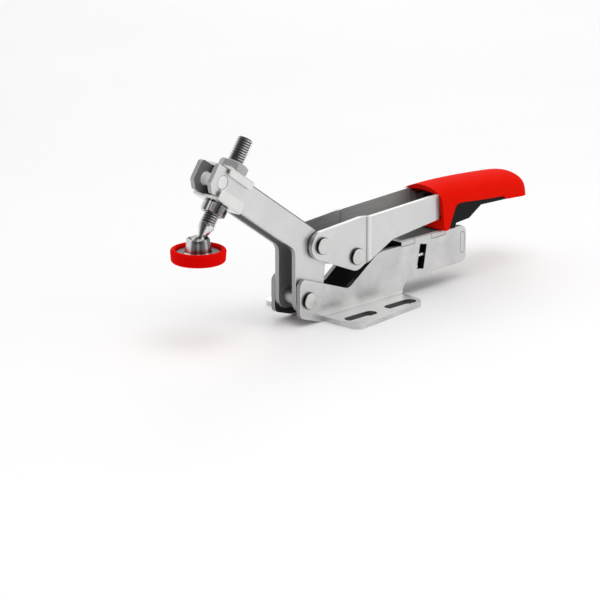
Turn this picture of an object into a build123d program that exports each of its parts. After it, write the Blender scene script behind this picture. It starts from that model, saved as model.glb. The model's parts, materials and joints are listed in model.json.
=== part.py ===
from build123d import *
from math import asin, atan2, cos, hypot, radians, sin, sqrt, tan
import os

# Horizontal toggle clamp with an open arm and a self-adjusting slider.
# Millimetres, +Z up. The seat of the base lies on z = 0 and the origin is the middle of its
# four slots. +X points to the grip, the pressure pad is at -X, and Y runs across the clamp.

# ---------------------------------------------------------------- clearances
RUN = 0.05  # radial gap of a pin that turns in its hole
FIX = 0.02  # radial gap of a pin that is riveted or pressed into its hole
GAP = 0.3  # gap between neighbouring pieces that move past each other
SEAT = 0.05  # gap between a washer and the plates beside it

# ---------------------------------------------------------------- pivots (x, z)
ARM_PIVOT = (-38.3, 12.7)
HANDLE_PIVOT = (-29.2, 38.7)
LINK_PIVOT = (-4.7, 28.4)
LINK_LENGTH = 26.0
LINK_FALL = 19.5  # degrees that the link falls towards the slider
SLIDER_X = LINK_PIVOT[0] + LINK_LENGTH * cos(radians(LINK_FALL))
SLIDER_Z = LINK_PIVOT[1] - LINK_LENGTH * sin(radians(LINK_FALL))

RIVET_R = 3.0
RIVET_HEAD_R = 4.3
RIVET_HEAD_H = 1.7
RIVET_HEAD_ROUND = 0.6

# ---------------------------------------------------------------- widths, from the spindle outwards
SPINDLE_R = 4.0
SPINDLE_PLAY = 0.5  # between the spindle and each cheek of the arm
ARM_SHEET = 2.5
ARM_IN = SPINDLE_R + SPINDLE_PLAY
ARM_HALF_WIDTH = ARM_IN + ARM_SHEET
WALL_PLAY = 0.5  # between a cheek and the side wall beside it
BASE_SHEET = 2.4
WALL_IN = ARM_HALF_WIDTH + WALL_PLAY
BASE_HALF_WIDTH = WALL_IN + BASE_SHEET  # middle plane to the outer face of a side wall
WASHER_SHEET = 0.7
HANDLE_IN = ARM_HALF_WIDTH + WASHER_SHEET + 2 * SEAT
LINK_PLAY = 0.4  # between the link and the side walls, and between the slider and the link
LINK_SHEET = 2.4
LINK_HALF_WIDTH = WALL_IN - LINK_PLAY
LINK_IN = LINK_HALF_WIDTH - LINK_SHEET
SLIDER_HALF_WIDTH = LINK_IN - LINK_PLAY

# ---------------------------------------------------------------- base
BEND_R = 1.2  # inner radius of the fold between wall and flange

FLANGE_FRONT_X = -27.8
FLANGE_REAR_X = 29.3
FLANGE_FRONT_Y = 33.3
FLANGE_REAR_Y = 27.2
FLANGE_REAR_SLANT = 2.6
FLANGE_FRONT_ROUND = 4.5
FLANGE_REAR_ROUND = 7.0

SLOT_SPACING_X = 28.7
SLOT_SPACING_Y = 44.0
SLOT_WIDTH = 6.5
SLOT_LENGTH = 20.5

LUG_FRONT_X = -44.6
LUG_FRONT_Z = 4.8  # lower front corner
LUG_FOOT_X = -29.8  # where the lug's lower edge meets the seat plane
LUG_TOP_Z = 25.1
LUG_ROUND = 3.5
LUG_TOP_FALL = 19.5  # degrees that the top of the lug falls towards the throat
THROAT_X = -10.2
THROAT_ROUND = 5.0
SHOULDER_RISE = 33.5  # degrees that the wall climbs from the throat to the housing
SHOULDER_ROUND = 12.0

HOUSING_BOTTOM_Z = 8.4
HOUSING_STEP_X = 50.5
HOUSING_STEP = 1.0
HOUSING_REAR_X = 76.6
HOUSING_ROUND = 4.0
HOUSING_FOOT_ROUND = 5.0
HOUSING_CREST = 1.8  # how far the rear of the top edge stands above its front
CREST_X = 38.3

WINDOW_WIDTH = 5.2
WINDOW_BELOW = 7.5  # slider pin to the lower edge of the window
WINDOW_ABOVE = 5.3
WINDOW_LEAN = 10.6  # degrees

COVER_FRONT_X = 27.9
COVER_SHEET = 2.3
COVER_PROUD = 1.8  # the cover stands this much above the front of the walls
COVER_TABS = ((27.9, 37.8), (50.5, 60.8))
TAB_GAP = 0.1

REAR_PLATE_X = 73.9
REAR_PLATE_SHEET = 2.8
REAR_PLATE_BOTTOM_Z = 11.0
REAR_TAB_Z = 20.0
REAR_TAB_HEIGHT = 10.9

# ---------------------------------------------------------------- arm
ARM_RISE = 35.0  # degrees that the bar rises towards the pad
ARM_DEPTH = 14.4
ARM_NOSE = (-93.7, 82.0)  # rivet that ties the cheeks together at the nose
ARM_NOSE_LENGTH = 7.2  # from that rivet to the end of the bar
ARM_NOSE_CHAMFER = 3.6
ARM_NOSE_ROUND = 2.0
ARM_FRONT = 6.5  # arm pivot to the front edge of the upright
ARM_REAR_TOP_X = -22.7
ARM_REAR_BOTTOM_X = -26.6
ARM_BOTTOM = 6.5  # arm pivot to the lower end of the upright
ARM_ELBOW_ROUND = 6.0
ARM_SHOULDER_ROUND = 6.0
ARM_FOOT_ROUND = 6.2
NOSE_RIVET_R = 3.5
NOSE_SPACER_R = 3.0
NOSE_RIVET_CHAMFER = 0.35
BUSH_R = 3.9

# ---------------------------------------------------------------- handle
HANDLE_SHEET = 2.2
HANDLE_OUT = HANDLE_IN + HANDLE_SHEET
HANDLE_JOGGLE = 1.2  # the plates stand this much further apart behind the link pivot
JOGGLE_X = 1.6
JOGGLE_LENGTH = 2.6
HANDLE_EYE_R = 7.2
HANDLE_TOP_FRONT_Z = 45.9
HANDLE_TOP_SLOPE = 2.15  # degrees
HANDLE_CREST = (-1.5, 47.8)
HANDLE_DIP = (4.2, 47.3)
HANDLE_HEEL_X = 10.0
HANDLE_HEEL_UP = 0.6  # above the top of the housing wall
HANDLE_KNEE_X = 20.3
HANDLE_KNEE_UP = 5.4
HANDLE_REAR_BOTTOM_Z = 36.1
HANDLE_NECK_X = 54.2
HANDLE_NECK_LENGTH = 3.6
HANDLE_BEND_R = 1.2  # of the middle of the sheet
TANG_OUT = 9.6
TANG_BOTTOM_Z = 38.2
TANG_TOP_Z = 45.6
TANG_END_X = 98.0
TANG_ROUND = 3.0
WASHER_R = 7.0

# ---------------------------------------------------------------- link and slider
LINK_EYE_R = 6.0
LINK_TAIL_R = 5.1
LINK_WEB_START = 6.6
LINK_WEB_END = 15.5
LINK_PIN_R = 2.8
SLIDER_TRAVEL = 10.0
SLIDER_HALF_HEIGHT = 5.5
SLOT_PLAY = 0.85  # the link pin's room above and below in the slider's slot
SLIDER_HEADROOM = 1.4
SLIDER_NOSE = 6.4
BLOCK_LENGTH = 3.6
ROD_R = 2.6
ROD_BEHIND_LOCK = 16.6
ROD_CHAMFER = 0.6

LOCK_ROOM = 4.6  # rear of the slider's block to the middle of the lock plates
LOCK_SHEET = 2.5
LOCK_HALF_WIDTH = 6.8
LOCK_ABOVE = 5.9  # slider rod to the upper edges of the plates
LOCK_BELOW = 7.0
LOCK_PLAY = 0.55
LOCK_CORNER = 1.0
LOCK_EAR = 1.3
LOCK_EAR_REACH = 8.9  # middle plane to the ends of the ears
LOCK_EAR_DROP = 0.4  # the ears sit this much below the rod

SCREW_R = 4.0
SCREW_LENGTH = 11.0
SCREW_CHAMFER = 0.6
SCREW_KEY = 4.0
SCREW_KEY_DEPTH = 5.0
SPRING_R = 4.3
SPRING_WIRE_R = 0.6
SPRING_TURNS = 5

# ---------------------------------------------------------------- spindle and pad
SPINDLE_BEHIND_NOSE = 9.0
SPINDLE_ABOVE = 26.0
SPINDLE_THREAD_BELOW = 20.4
SPINDLE_CONE = 4.4
SPINDLE_NECK_R = 1.75
SPINDLE_BALL_BELOW = 29.8
SPINDLE_CHAMFER = 0.8
BALL_R = 4.0

SADDLE_SHEET = 1.4
SADDLE_LENGTH = 18.0
UPPER_FLAP = 3.0
LOWER_FLAP = 4.4
SADDLE_ROUND = 1.2
SADDLE_CORNER = 1.6

NUT_FLATS = 13.0
UPPER_NUT_H = 4.4
LOWER_NUT_H = 6.5
NUT_CHAMFER = 1.1

PAD_BOTTOM_Z = 44.0
CAP_R = 13.4
CAP_H = 6.5
CAP_WALL = 2.6
CAP_FLOOR = 2.5
CAP_ROUND = 1.4
DISC_SHEET = 2.0
COLLAR_TOP_Z = 55.6
COLLAR_TOP_R = 5.5
COLLAR_FOOT_R = 6.3
COLLAR_MOUTH_R = 4.75
SOCKET_LIP_R = 3.8
SOCKET_LIP_H = 1.2

# ---------------------------------------------------------------- grip
GRIP_HALF_WIDTH = 13.5
GRIP_WALL = 2.1
GRIP_CROWN = 2.6  # thickness of the crown at its ridge
GRIP_RIDGE = ((50.0, 52.2), (80.0, 51.8), (103.0, 50.2), (115.5, 47.9), (121.2, 43.8))
GRIP_END = (123.6, 36.4)  # lower end of the tail
GRIP_DOME_R = 22.0
GRIP_CEILING_R = 40.0
GRIP_CEILING_ROUND = 1.0
GRIP_EDGE_ROUND = 2.5
GRIP_PLAN_ROUND = 9.0
GRIP_FRONT_TOP = (53.5, 53.0)
GRIP_TIP_FRONT = (56.4, 29.9)
GRIP_TIP_REAR = (59.5, 29.9)
GRIP_SKIRT = ((65.3, 42.6), (102.9, 39.4), (104.9, 37.6))
GRIP_SKIRT_ROUND = 3.0
WEB_TOP_Z = 35.6
INSERT_SIDE_GAP = 0.1
INSERT_HEEL = (62.2, 66.8)  # the insert comes closest to the housing between these two
INSERT_BOTTOM = ((67.5, 31.6), (77.3, 32.3), (86.5, 37.6), (107.0, 36.9))
INSERT_FRONT_X = 63.0
INSERT_TOP_Z = 44.0

# ---------------------------------------------------------------- what follows from the sizes
BLOCK_FRONT_X = SLIDER_X + LINK_TAIL_R + SLIDER_TRAVEL + GAP
BLOCK_REAR_X = BLOCK_FRONT_X + BLOCK_LENGTH
LOCK_MIDDLE_X = BLOCK_REAR_X + LOCK_ROOM
COVER_TOP_Z = SLIDER_Z + SLIDER_HALF_HEIGHT + SLIDER_HEADROOM + COVER_SHEET
HOUSING_TOP_Z = COVER_TOP_Z - COVER_PROUD
HANDLE_HEEL = (HANDLE_HEEL_X, HOUSING_TOP_Z + HANDLE_HEEL_UP)
HANDLE_KNEE = (HANDLE_KNEE_X, HOUSING_TOP_Z + HANDLE_KNEE_UP)


def on_side(side, inner):
    """Plane of a sheet's inner face; side is -1 at -Y or +1 at +Y, and the sheet grows outwards."""
    return Plane(origin=(0, side * inner, 0), x_dir=(1, 0, 0), z_dir=(0, side, 0))


def point_on(side, x, z):
    """Coordinates of (x, z) on the plane of that side, whose second axis is +Z or -Z."""
    return (x, -side * z)


def outline(side, points):
    """The same outline, written in (x, z), for either side of the clamp."""
    return [point_on(side, x, z) for x, z in points]


def tangent_away(centre, radius, end, turn):
    """The point where a line from end touches a circle; turn picks the side, +1 or -1."""
    reach = hypot(end[0] - centre[0], end[1] - centre[1])
    heading = atan2(end[1] - centre[1], end[0] - centre[0])
    angle = heading + turn * (radians(90) - asin(radius / reach))
    return (centre[0] + radius * cos(angle), centre[1] + radius * sin(angle))


def rivet(centre, half_length):
    """A headed rivet across the clamp, through the point (x, z)."""
    with BuildPart() as made:
        with BuildSketch(Plane.XZ.offset(-half_length)):
            with Locations(centre):
                Circle(RIVET_R)
        extrude(amount=2 * half_length)
        for face in (-half_length - RIVET_HEAD_H, half_length):
            with BuildSketch(Plane.XZ.offset(face)):
                with Locations(centre):
                    Circle(RIVET_HEAD_R)
            extrude(amount=RIVET_HEAD_H)
        ends = made.edges().filter_by(GeomType.CIRCLE).sort_by(Axis.Y)
        fillet([ends[0], ends[-1]], radius=RIVET_HEAD_ROUND)
    return made.part


def ring(centre, inner_face, thickness, outer_r, hole_r):
    """A washer, spacer or bush across the clamp, from y = -inner_face outwards."""
    with BuildPart() as made:
        with BuildSketch(Plane.XZ.offset(inner_face)):
            with Locations(centre):
                Circle(outer_r)
                Circle(hole_r, mode=Mode.SUBTRACT)
        extrude(amount=thickness)
    return made.part


# ================================================================ base side plates
THROAT_Z = LUG_TOP_Z - (THROAT_X - LUG_FRONT_X) * tan(radians(LUG_TOP_FALL))
SHOULDER_X = THROAT_X + (HOUSING_TOP_Z - THROAT_Z) / tan(radians(SHOULDER_RISE))
WINDOW_SLOPE = tan(radians(WINDOW_LEAN))


def window_corner(edge, up):
    """A corner of the leaning window: edge is -1 for its front side or +1 for its rear side."""
    lean = radians(WINDOW_LEAN)
    x = LOCK_MIDDLE_X + up * sin(lean) + edge * WINDOW_WIDTH / 2 * cos(lean)
    return (x, SLIDER_Z + up * cos(lean) - edge * WINDOW_WIDTH / 2 * sin(lean))


def base_side(side):
    """A folded side plate: pivot lug, throat, housing wall and slotted flange in one sheet."""
    wall = [
        (LUG_FRONT_X, LUG_FRONT_Z),
        (LUG_FRONT_X, LUG_TOP_Z),
        (THROAT_X, THROAT_Z),
        (SHOULDER_X, HOUSING_TOP_Z),
        (CREST_X - HOUSING_CREST, HOUSING_TOP_Z),
        (CREST_X, HOUSING_TOP_Z + HOUSING_CREST),
        (HOUSING_REAR_X, HOUSING_TOP_Z + HOUSING_CREST),
        (HOUSING_REAR_X, HOUSING_BOTTOM_Z + HOUSING_STEP),
        (HOUSING_STEP_X + HOUSING_STEP, HOUSING_BOTTOM_Z + HOUSING_STEP),
        (HOUSING_STEP_X, HOUSING_BOTTOM_Z),
        (FLANGE_REAR_X, HOUSING_BOTTOM_Z),
        (FLANGE_REAR_X, 0),
        (LUG_FOOT_X, 0),
    ]
    rounds = (
        ((LUG_FRONT_X, LUG_FRONT_Z), LUG_ROUND),
        ((LUG_FRONT_X, LUG_TOP_Z), LUG_ROUND),
        ((THROAT_X, THROAT_Z), THROAT_ROUND),
        ((SHOULDER_X, HOUSING_TOP_Z), SHOULDER_ROUND),
        ((HOUSING_REAR_X, HOUSING_TOP_Z + HOUSING_CREST), HOUSING_ROUND),
        ((HOUSING_REAR_X, HOUSING_BOTTOM_Z + HOUSING_STEP), HOUSING_ROUND),
        ((FLANGE_REAR_X, HOUSING_BOTTOM_Z), HOUSING_FOOT_ROUND),
    )
    window = [
        window_corner(-1, -WINDOW_BELOW),
        window_corner(1, -WINDOW_BELOW),
        window_corner(1, WINDOW_ABOVE),
        window_corner(-1, WINDOW_ABOVE),
    ]
    flange = [
        (FLANGE_FRONT_X, side * WALL_IN),
        (FLANGE_FRONT_X, side * FLANGE_FRONT_Y),
        (FLANGE_REAR_X - FLANGE_REAR_SLANT, side * FLANGE_REAR_Y),
        (FLANGE_REAR_X, side * WALL_IN),
    ]
    with BuildPart() as made:
        with BuildSketch(on_side(side, WALL_IN)) as face:
            with BuildLine():
                Polyline(*outline(side, wall), close=True)
            make_face()
            for corner, radius in rounds:
                nearest = face.vertices().sort_by_distance(point_on(side, *corner))[0]
                fillet(nearest, radius=radius)
            with Locations(point_on(side, *ARM_PIVOT)):
                Circle(RIVET_R + FIX, mode=Mode.SUBTRACT)
            with BuildLine():
                Polyline(*outline(side, window), close=True)
            make_face(mode=Mode.SUBTRACT)
            with Locations(point_on(side, REAR_PLATE_X, REAR_TAB_Z)):
                SlotOverall(
                    REAR_TAB_HEIGHT + 2 * TAB_GAP,
                    REAR_PLATE_SHEET + 2 * TAB_GAP,
                    rotation=90,
                    mode=Mode.SUBTRACT,
                )
            for start, end in COVER_TABS:
                depth = HOUSING_TOP_Z + HOUSING_CREST - COVER_TOP_Z + COVER_SHEET + 2
                middle = ((start + end) / 2, COVER_TOP_Z - COVER_SHEET - TAB_GAP + depth / 2)
                with Locations(point_on(side, *middle)):
                    Rectangle(end - start + 2 * TAB_GAP, depth, mode=Mode.SUBTRACT)
        extrude(amount=BASE_SHEET)
        with BuildSketch(Plane.XY) as foot:
            with BuildLine():
                Polyline(*flange, close=True)
            make_face()
            outer = foot.vertices().group_by(Axis.Y)[0 if side < 0 else -1]
            fillet(outer, radius=FLANGE_FRONT_ROUND)
            rear = foot.vertices().sort_by_distance(flange[2])[0]
            fillet(rear, radius=FLANGE_REAR_ROUND)
            with Locations((0, side * SLOT_SPACING_Y / 2)):
                with GridLocations(SLOT_SPACING_X, 1, 2, 1):
                    SlotOverall(SLOT_LENGTH, SLOT_WIDTH, mode=Mode.SUBTRACT)
        extrude(amount=BASE_SHEET)
        along = made.edges().filter_by(Axis.X)
        crease = along.sort_by_distance((0, side * BASE_HALF_WIDTH, BASE_SHEET))[0]
        fillet(crease, radius=BEND_R)
        along = made.edges().filter_by(Axis.X)
        heel = along.sort_by_distance((0, side * WALL_IN, 0))[0]
        fillet(heel, radius=BEND_R + BASE_SHEET - 0.2)
    return made.part


with BuildPart() as base_side_left:
    add(base_side(-1))

with BuildPart() as base_side_right:
    add(base_side(1))

COVER_REAR_X = REAR_PLATE_X - REAR_PLATE_SHEET / 2 - TAB_GAP

# The cover lies between the walls, and its tabs sit in the notches of their top edges.
with BuildPart() as cover_plate:
    with BuildSketch(Plane.XY.offset(COVER_TOP_Z - COVER_SHEET)):
        with Locations(((COVER_FRONT_X + COVER_REAR_X) / 2, 0)):
            Rectangle(COVER_REAR_X - COVER_FRONT_X, 2 * (WALL_IN - TAB_GAP))
        for start, end in COVER_TABS:
            with Locations(((start + end) / 2, 0)):
                Rectangle(end - start, 2 * BASE_HALF_WIDTH)
    extrude(amount=COVER_SHEET)

# The rear plate closes the housing, and its round-ended tabs are riveted over in the walls.
with BuildPart() as rear_plate:
    with BuildSketch(Plane.XZ.offset(-(WALL_IN - TAB_GAP))):
        with Locations((REAR_PLATE_X, (REAR_PLATE_BOTTOM_Z + HOUSING_TOP_Z) / 2)):
            Rectangle(REAR_PLATE_SHEET, HOUSING_TOP_Z - REAR_PLATE_BOTTOM_Z)
    extrude(amount=2 * (WALL_IN - TAB_GAP))
    with BuildSketch(Plane.XZ.offset(-BASE_HALF_WIDTH)):
        with Locations((REAR_PLATE_X, REAR_TAB_Z)):
            SlotOverall(REAR_TAB_HEIGHT, REAR_PLATE_SHEET, rotation=90)
    extrude(amount=2 * BASE_HALF_WIDTH)
    with BuildSketch(Plane.YZ.offset(REAR_PLATE_X - REAR_PLATE_SHEET)):
        with Locations((0, SLIDER_Z)):
            Circle(SCREW_R + RUN)
    extrude(amount=2 * REAR_PLATE_SHEET, mode=Mode.SUBTRACT)

with BuildPart() as arm_pivot_rivet:
    add(rivet(ARM_PIVOT, BASE_HALF_WIDTH + FIX))

# ================================================================ arm
BAR_X = (cos(radians(ARM_RISE)), 0, -sin(radians(ARM_RISE)))
BAR_UP = (sin(radians(ARM_RISE)), 0, cos(radians(ARM_RISE)))


def on_bar(along, up):
    """The point (x, z) at a distance along the bar from the nose rivet and up across it."""
    x = ARM_NOSE[0] + along * BAR_X[0] + up * BAR_UP[0]
    return (x, ARM_NOSE[1] + along * BAR_X[2] + up * BAR_UP[2])


BAR_SLOPE = BAR_X[2] / BAR_X[0]
ELBOW_X = ARM_PIVOT[0] - ARM_FRONT
ELBOW_Z = on_bar(0, -ARM_DEPTH / 2)[1] + (ELBOW_X - on_bar(0, -ARM_DEPTH / 2)[0]) * BAR_SLOPE
SHOULDER_Z = on_bar(0, ARM_DEPTH / 2)[1] + (ARM_REAR_TOP_X - on_bar(0, ARM_DEPTH / 2)[0]) * BAR_SLOPE


def arm_cheek(side):
    """One of the two flat cheeks of the arm: upright, elbow and bar."""
    foot_z = ARM_PIVOT[1] - ARM_BOTTOM
    corners = [
        (ELBOW_X, foot_z),
        (ELBOW_X, ELBOW_Z),
        on_bar(-ARM_NOSE_LENGTH, -ARM_DEPTH / 2),
        on_bar(-ARM_NOSE_LENGTH, ARM_DEPTH / 2),
        (ARM_REAR_TOP_X, SHOULDER_Z),
        (ARM_REAR_BOTTOM_X, foot_z),
    ]
    rounds = (
        (corners[0], ARM_FOOT_ROUND),
        (corners[1], ARM_ELBOW_ROUND),
        (corners[3], ARM_NOSE_ROUND),
        (corners[4], ARM_SHOULDER_ROUND),
        (corners[5], ARM_FOOT_ROUND),
    )
    with BuildPart() as made:
        with BuildSketch(on_side(side, ARM_IN)) as face:
            with BuildLine():
                Polyline(*outline(side, corners), close=True)
            make_face()
            for corner, radius in rounds:
                nearest = face.vertices().sort_by_distance(point_on(side, *corner))[0]
                fillet(nearest, radius=radius)
            tip = face.vertices().sort_by_distance(point_on(side, *corners[2]))[0]
            chamfer(tip, length=ARM_NOSE_CHAMFER)
            with Locations(point_on(side, *ARM_PIVOT), point_on(side, *HANDLE_PIVOT)):
                Circle(RIVET_R + RUN, mode=Mode.SUBTRACT)
            with Locations(point_on(side, *ARM_NOSE)):
                Circle(NOSE_RIVET_R + FIX, mode=Mode.SUBTRACT)
        extrude(amount=ARM_SHEET)
    return made.part


with BuildPart() as arm_cheek_left:
    add(arm_cheek(-1))

with BuildPart() as arm_cheek_right:
    add(arm_cheek(1))

# The nose rivet is thinner between the cheeks than where its flush ends fill their holes.
with BuildPart() as nose_rivet:
    with BuildSketch(Plane.XZ.offset(-ARM_HALF_WIDTH)):
        with Locations(ARM_NOSE):
            Circle(NOSE_RIVET_R)
    extrude(amount=ARM_SHEET)
    with BuildSketch(Plane.XZ.offset(-ARM_IN)):
        with Locations(ARM_NOSE):
            Circle(NOSE_SPACER_R)
    extrude(amount=2 * ARM_IN)
    with BuildSketch(Plane.XZ.offset(ARM_IN)):
        with Locations(ARM_NOSE):
            Circle(NOSE_RIVET_R)
    extrude(amount=ARM_SHEET)
    ends = nose_rivet.edges().filter_by(GeomType.CIRCLE).sort_by(Axis.Y)
    chamfer([ends[0], ends[-1]], length=NOSE_RIVET_CHAMFER)

with BuildPart() as arm_pivot_bush:
    add(ring(ARM_PIVOT, -(ARM_IN - SEAT), 2 * (ARM_IN - SEAT), BUSH_R, RIVET_R + RUN))

with BuildPart() as handle_pivot_bush:
    add(ring(HANDLE_PIVOT, -(ARM_IN - SEAT), 2 * (ARM_IN - SEAT), BUSH_R, RIVET_R + RUN))

# ================================================================ handle
HANDLE_SLOPE = sin(radians(HANDLE_TOP_SLOPE)) / cos(radians(HANDLE_TOP_SLOPE))
EYE_TOP_X = HANDLE_PIVOT[0]
NECK_TOP_Z = HANDLE_TOP_FRONT_Z + (HANDLE_NECK_X - EYE_TOP_X) * HANDLE_SLOPE


def handle_plate(side):
    """A handle plate: two eyes, a joggle that widens the pair, and a tang inside the grip."""
    middle_front = side * (HANDLE_IN + HANDLE_SHEET / 2)
    middle_rear = middle_front + side * HANDLE_JOGGLE
    middle_tang = side * (TANG_OUT - HANDLE_SHEET / 2)
    start = HANDLE_PIVOT[0] - HANDLE_EYE_R - 1
    eye = hypot(LINK_PIVOT[0] - HANDLE_PIVOT[0], LINK_PIVOT[1] - HANDLE_PIVOT[1])
    down = ((LINK_PIVOT[1] - HANDLE_PIVOT[1]) / eye, -(LINK_PIVOT[0] - HANDLE_PIVOT[0]) / eye)
    belly = [
        (centre[0] + HANDLE_EYE_R * down[0], centre[1] + HANDLE_EYE_R * down[1])
        for centre in (HANDLE_PIVOT, LINK_PIVOT)
    ]
    heel = tangent_away(LINK_PIVOT, HANDLE_EYE_R, HANDLE_HEEL, -1)
    brow = (HANDLE_PIVOT[0], HANDLE_PIVOT[1] + HANDLE_EYE_R)
    tang_front = HANDLE_NECK_X + HANDLE_NECK_LENGTH
    body = [
        HANDLE_PIVOT,
        belly[0],
        belly[1],
        LINK_PIVOT,
        heel,
        HANDLE_HEEL,
        HANDLE_KNEE,
        (HANDLE_NECK_X, HANDLE_REAR_BOTTOM_Z),
        (tang_front, TANG_BOTTOM_Z),
        (TANG_END_X, TANG_BOTTOM_Z),
        (TANG_END_X, TANG_TOP_Z),
        (tang_front, TANG_TOP_Z),
        (HANDLE_NECK_X, NECK_TOP_Z),
        HANDLE_DIP,
        HANDLE_CREST,
        brow,
    ]
    with BuildPart() as made:
        with BuildSketch(Plane.XY.offset(0)):
            with BuildLine() as course:
                FilletPolyline(
                    (start, middle_front),
                    (JOGGLE_X, middle_front),
                    (JOGGLE_X + JOGGLE_LENGTH, middle_rear),
                    (HANDLE_NECK_X, middle_rear),
                    (HANDLE_NECK_X + HANDLE_NECK_LENGTH, middle_tang),
                    (TANG_END_X + 1, middle_tang),
                    radius=HANDLE_BEND_R,
                )
            trace(course.line, line_width=HANDLE_SHEET)
        extrude(amount=2 * HANDLE_TOP_FRONT_Z)
        with BuildSketch(on_side(side, 0)) as face:
            with BuildLine():
                Polyline(*outline(side, body), close=True)
            make_face()
            with Locations(point_on(side, *HANDLE_PIVOT), point_on(side, *LINK_PIVOT)):
                Circle(HANDLE_EYE_R)
            for corner in ((TANG_END_X, TANG_BOTTOM_Z), (TANG_END_X, TANG_TOP_Z), HANDLE_KNEE):
                nearest = face.vertices().sort_by_distance(point_on(side, *corner))[0]
                fillet(nearest, radius=TANG_ROUND)
            with Locations(point_on(side, *HANDLE_PIVOT)):
                Circle(RIVET_R + FIX, mode=Mode.SUBTRACT)
            with Locations(point_on(side, *LINK_PIVOT)):
                Circle(RIVET_R + FIX, mode=Mode.SUBTRACT)
        extrude(amount=2 * GRIP_HALF_WIDTH, mode=Mode.INTERSECT)
    return made.part


with BuildPart() as handle_plate_left:
    add(handle_plate(-1))

with BuildPart() as handle_plate_right:
    add(handle_plate(1))

with BuildPart() as handle_pivot_rivet:
    add(rivet(HANDLE_PIVOT, HANDLE_OUT + FIX))

with BuildPart() as link_pivot_rivet:
    add(rivet(LINK_PIVOT, HANDLE_OUT + FIX))

with BuildPart() as pivot_washer_left:
    add(ring(HANDLE_PIVOT, ARM_HALF_WIDTH + SEAT, WASHER_SHEET, WASHER_R, RIVET_R + RUN))

with BuildPart() as pivot_washer_right:
    add(ring(HANDLE_PIVOT, -(HANDLE_IN - SEAT), WASHER_SHEET, WASHER_R, RIVET_R + RUN))

# ================================================================ link and slider
LINK_FRAME = Plane(
    origin=(LINK_PIVOT[0], 0, LINK_PIVOT[1]),
    x_dir=(cos(radians(LINK_FALL)), 0, -sin(radians(LINK_FALL))),
    z_dir=(0, -1, 0),
)

WEB_UNDER = LINK_TAIL_R - LINK_SHEET + 0.6

# The link is a folded channel: two cheeks with eyes, joined by a web along their upper edge.
with BuildPart() as link:
    with BuildSketch(LINK_FRAME.offset(-LINK_HALF_WIDTH)):
        with BuildLine():
            Polyline(
                (0, -LINK_EYE_R),
                (LINK_LENGTH, -LINK_TAIL_R),
                (LINK_LENGTH, LINK_TAIL_R),
                (0, LINK_EYE_R),
                close=True,
            )
        make_face()
        Circle(LINK_EYE_R)
        with Locations((LINK_LENGTH, 0)):
            Circle(LINK_TAIL_R)
    extrude(amount=2 * LINK_HALF_WIDTH)
    with BuildSketch(LINK_FRAME.offset(-LINK_IN)):
        with Locations((LINK_LENGTH / 2, WEB_UNDER)):
            Rectangle(LINK_LENGTH + 4 * LINK_EYE_R, 4 * LINK_EYE_R, align=(Align.CENTER, Align.MAX))
        with Locations((LINK_WEB_START - LINK_EYE_R - LINK_LENGTH, 0)):
            Rectangle(2 * LINK_LENGTH, 4 * LINK_EYE_R, align=(Align.CENTER, Align.CENTER))
        with Locations((LINK_WEB_END + LINK_LENGTH, 0)):
            Rectangle(2 * LINK_LENGTH, 4 * LINK_EYE_R)
    extrude(amount=2 * LINK_IN, mode=Mode.SUBTRACT)
    with BuildSketch(LINK_FRAME.offset(-LINK_HALF_WIDTH)):
        Circle(RIVET_R + RUN)
        with Locations((LINK_LENGTH, 0)):
            Circle(LINK_PIN_R + FIX)
    extrude(amount=2 * LINK_HALF_WIDTH, mode=Mode.SUBTRACT)

with BuildPart() as link_pin:
    with BuildSketch(Plane.XZ.offset(-LINK_HALF_WIDTH)):
        with Locations((SLIDER_X, SLIDER_Z)):
            Circle(LINK_PIN_R)
    extrude(amount=2 * LINK_HALF_WIDTH)

PIN_SLOT_LENGTH = SLIDER_TRAVEL + 2 * (LINK_PIN_R + GAP + SLOT_PLAY)

# The slider is a slotted bar between the link's cheeks, with a block that the walls guide.
with BuildPart() as slider:
    with BuildSketch(Plane.XZ.offset(-SLIDER_HALF_WIDTH)):
        with Locations(((SLIDER_X - SLIDER_NOSE + BLOCK_FRONT_X) / 2, SLIDER_Z)):
            Rectangle(BLOCK_FRONT_X - SLIDER_X + SLIDER_NOSE, 2 * SLIDER_HALF_HEIGHT)
        with Locations((SLIDER_X + SLIDER_TRAVEL / 2, SLIDER_Z)):
            SlotOverall(PIN_SLOT_LENGTH, 2 * (LINK_PIN_R + SLOT_PLAY), mode=Mode.SUBTRACT)
    extrude(amount=2 * SLIDER_HALF_WIDTH)
    with BuildSketch(Plane.XZ.offset(-(WALL_IN - GAP))):
        with Locations(((BLOCK_FRONT_X + BLOCK_REAR_X) / 2, SLIDER_Z)):
            Rectangle(BLOCK_LENGTH, 2 * SLIDER_HALF_HEIGHT)
    extrude(amount=2 * (WALL_IN - GAP))
    with BuildSketch(Plane.YZ.offset(BLOCK_REAR_X)):
        with Locations((0, SLIDER_Z)):
            Circle(ROD_R + FIX)
    extrude(amount=-BLOCK_LENGTH, mode=Mode.SUBTRACT)

with BuildPart() as slider_rod:
    with BuildSketch(Plane.YZ.offset(BLOCK_FRONT_X)):
        with Locations((0, SLIDER_Z)):
            Circle(ROD_R)
    extrude(amount=LOCK_MIDDLE_X + ROD_BEHIND_LOCK - BLOCK_FRONT_X)
    chamfer(slider_rod.edges().sort_by(Axis.X)[-1], length=ROD_CHAMFER)


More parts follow.
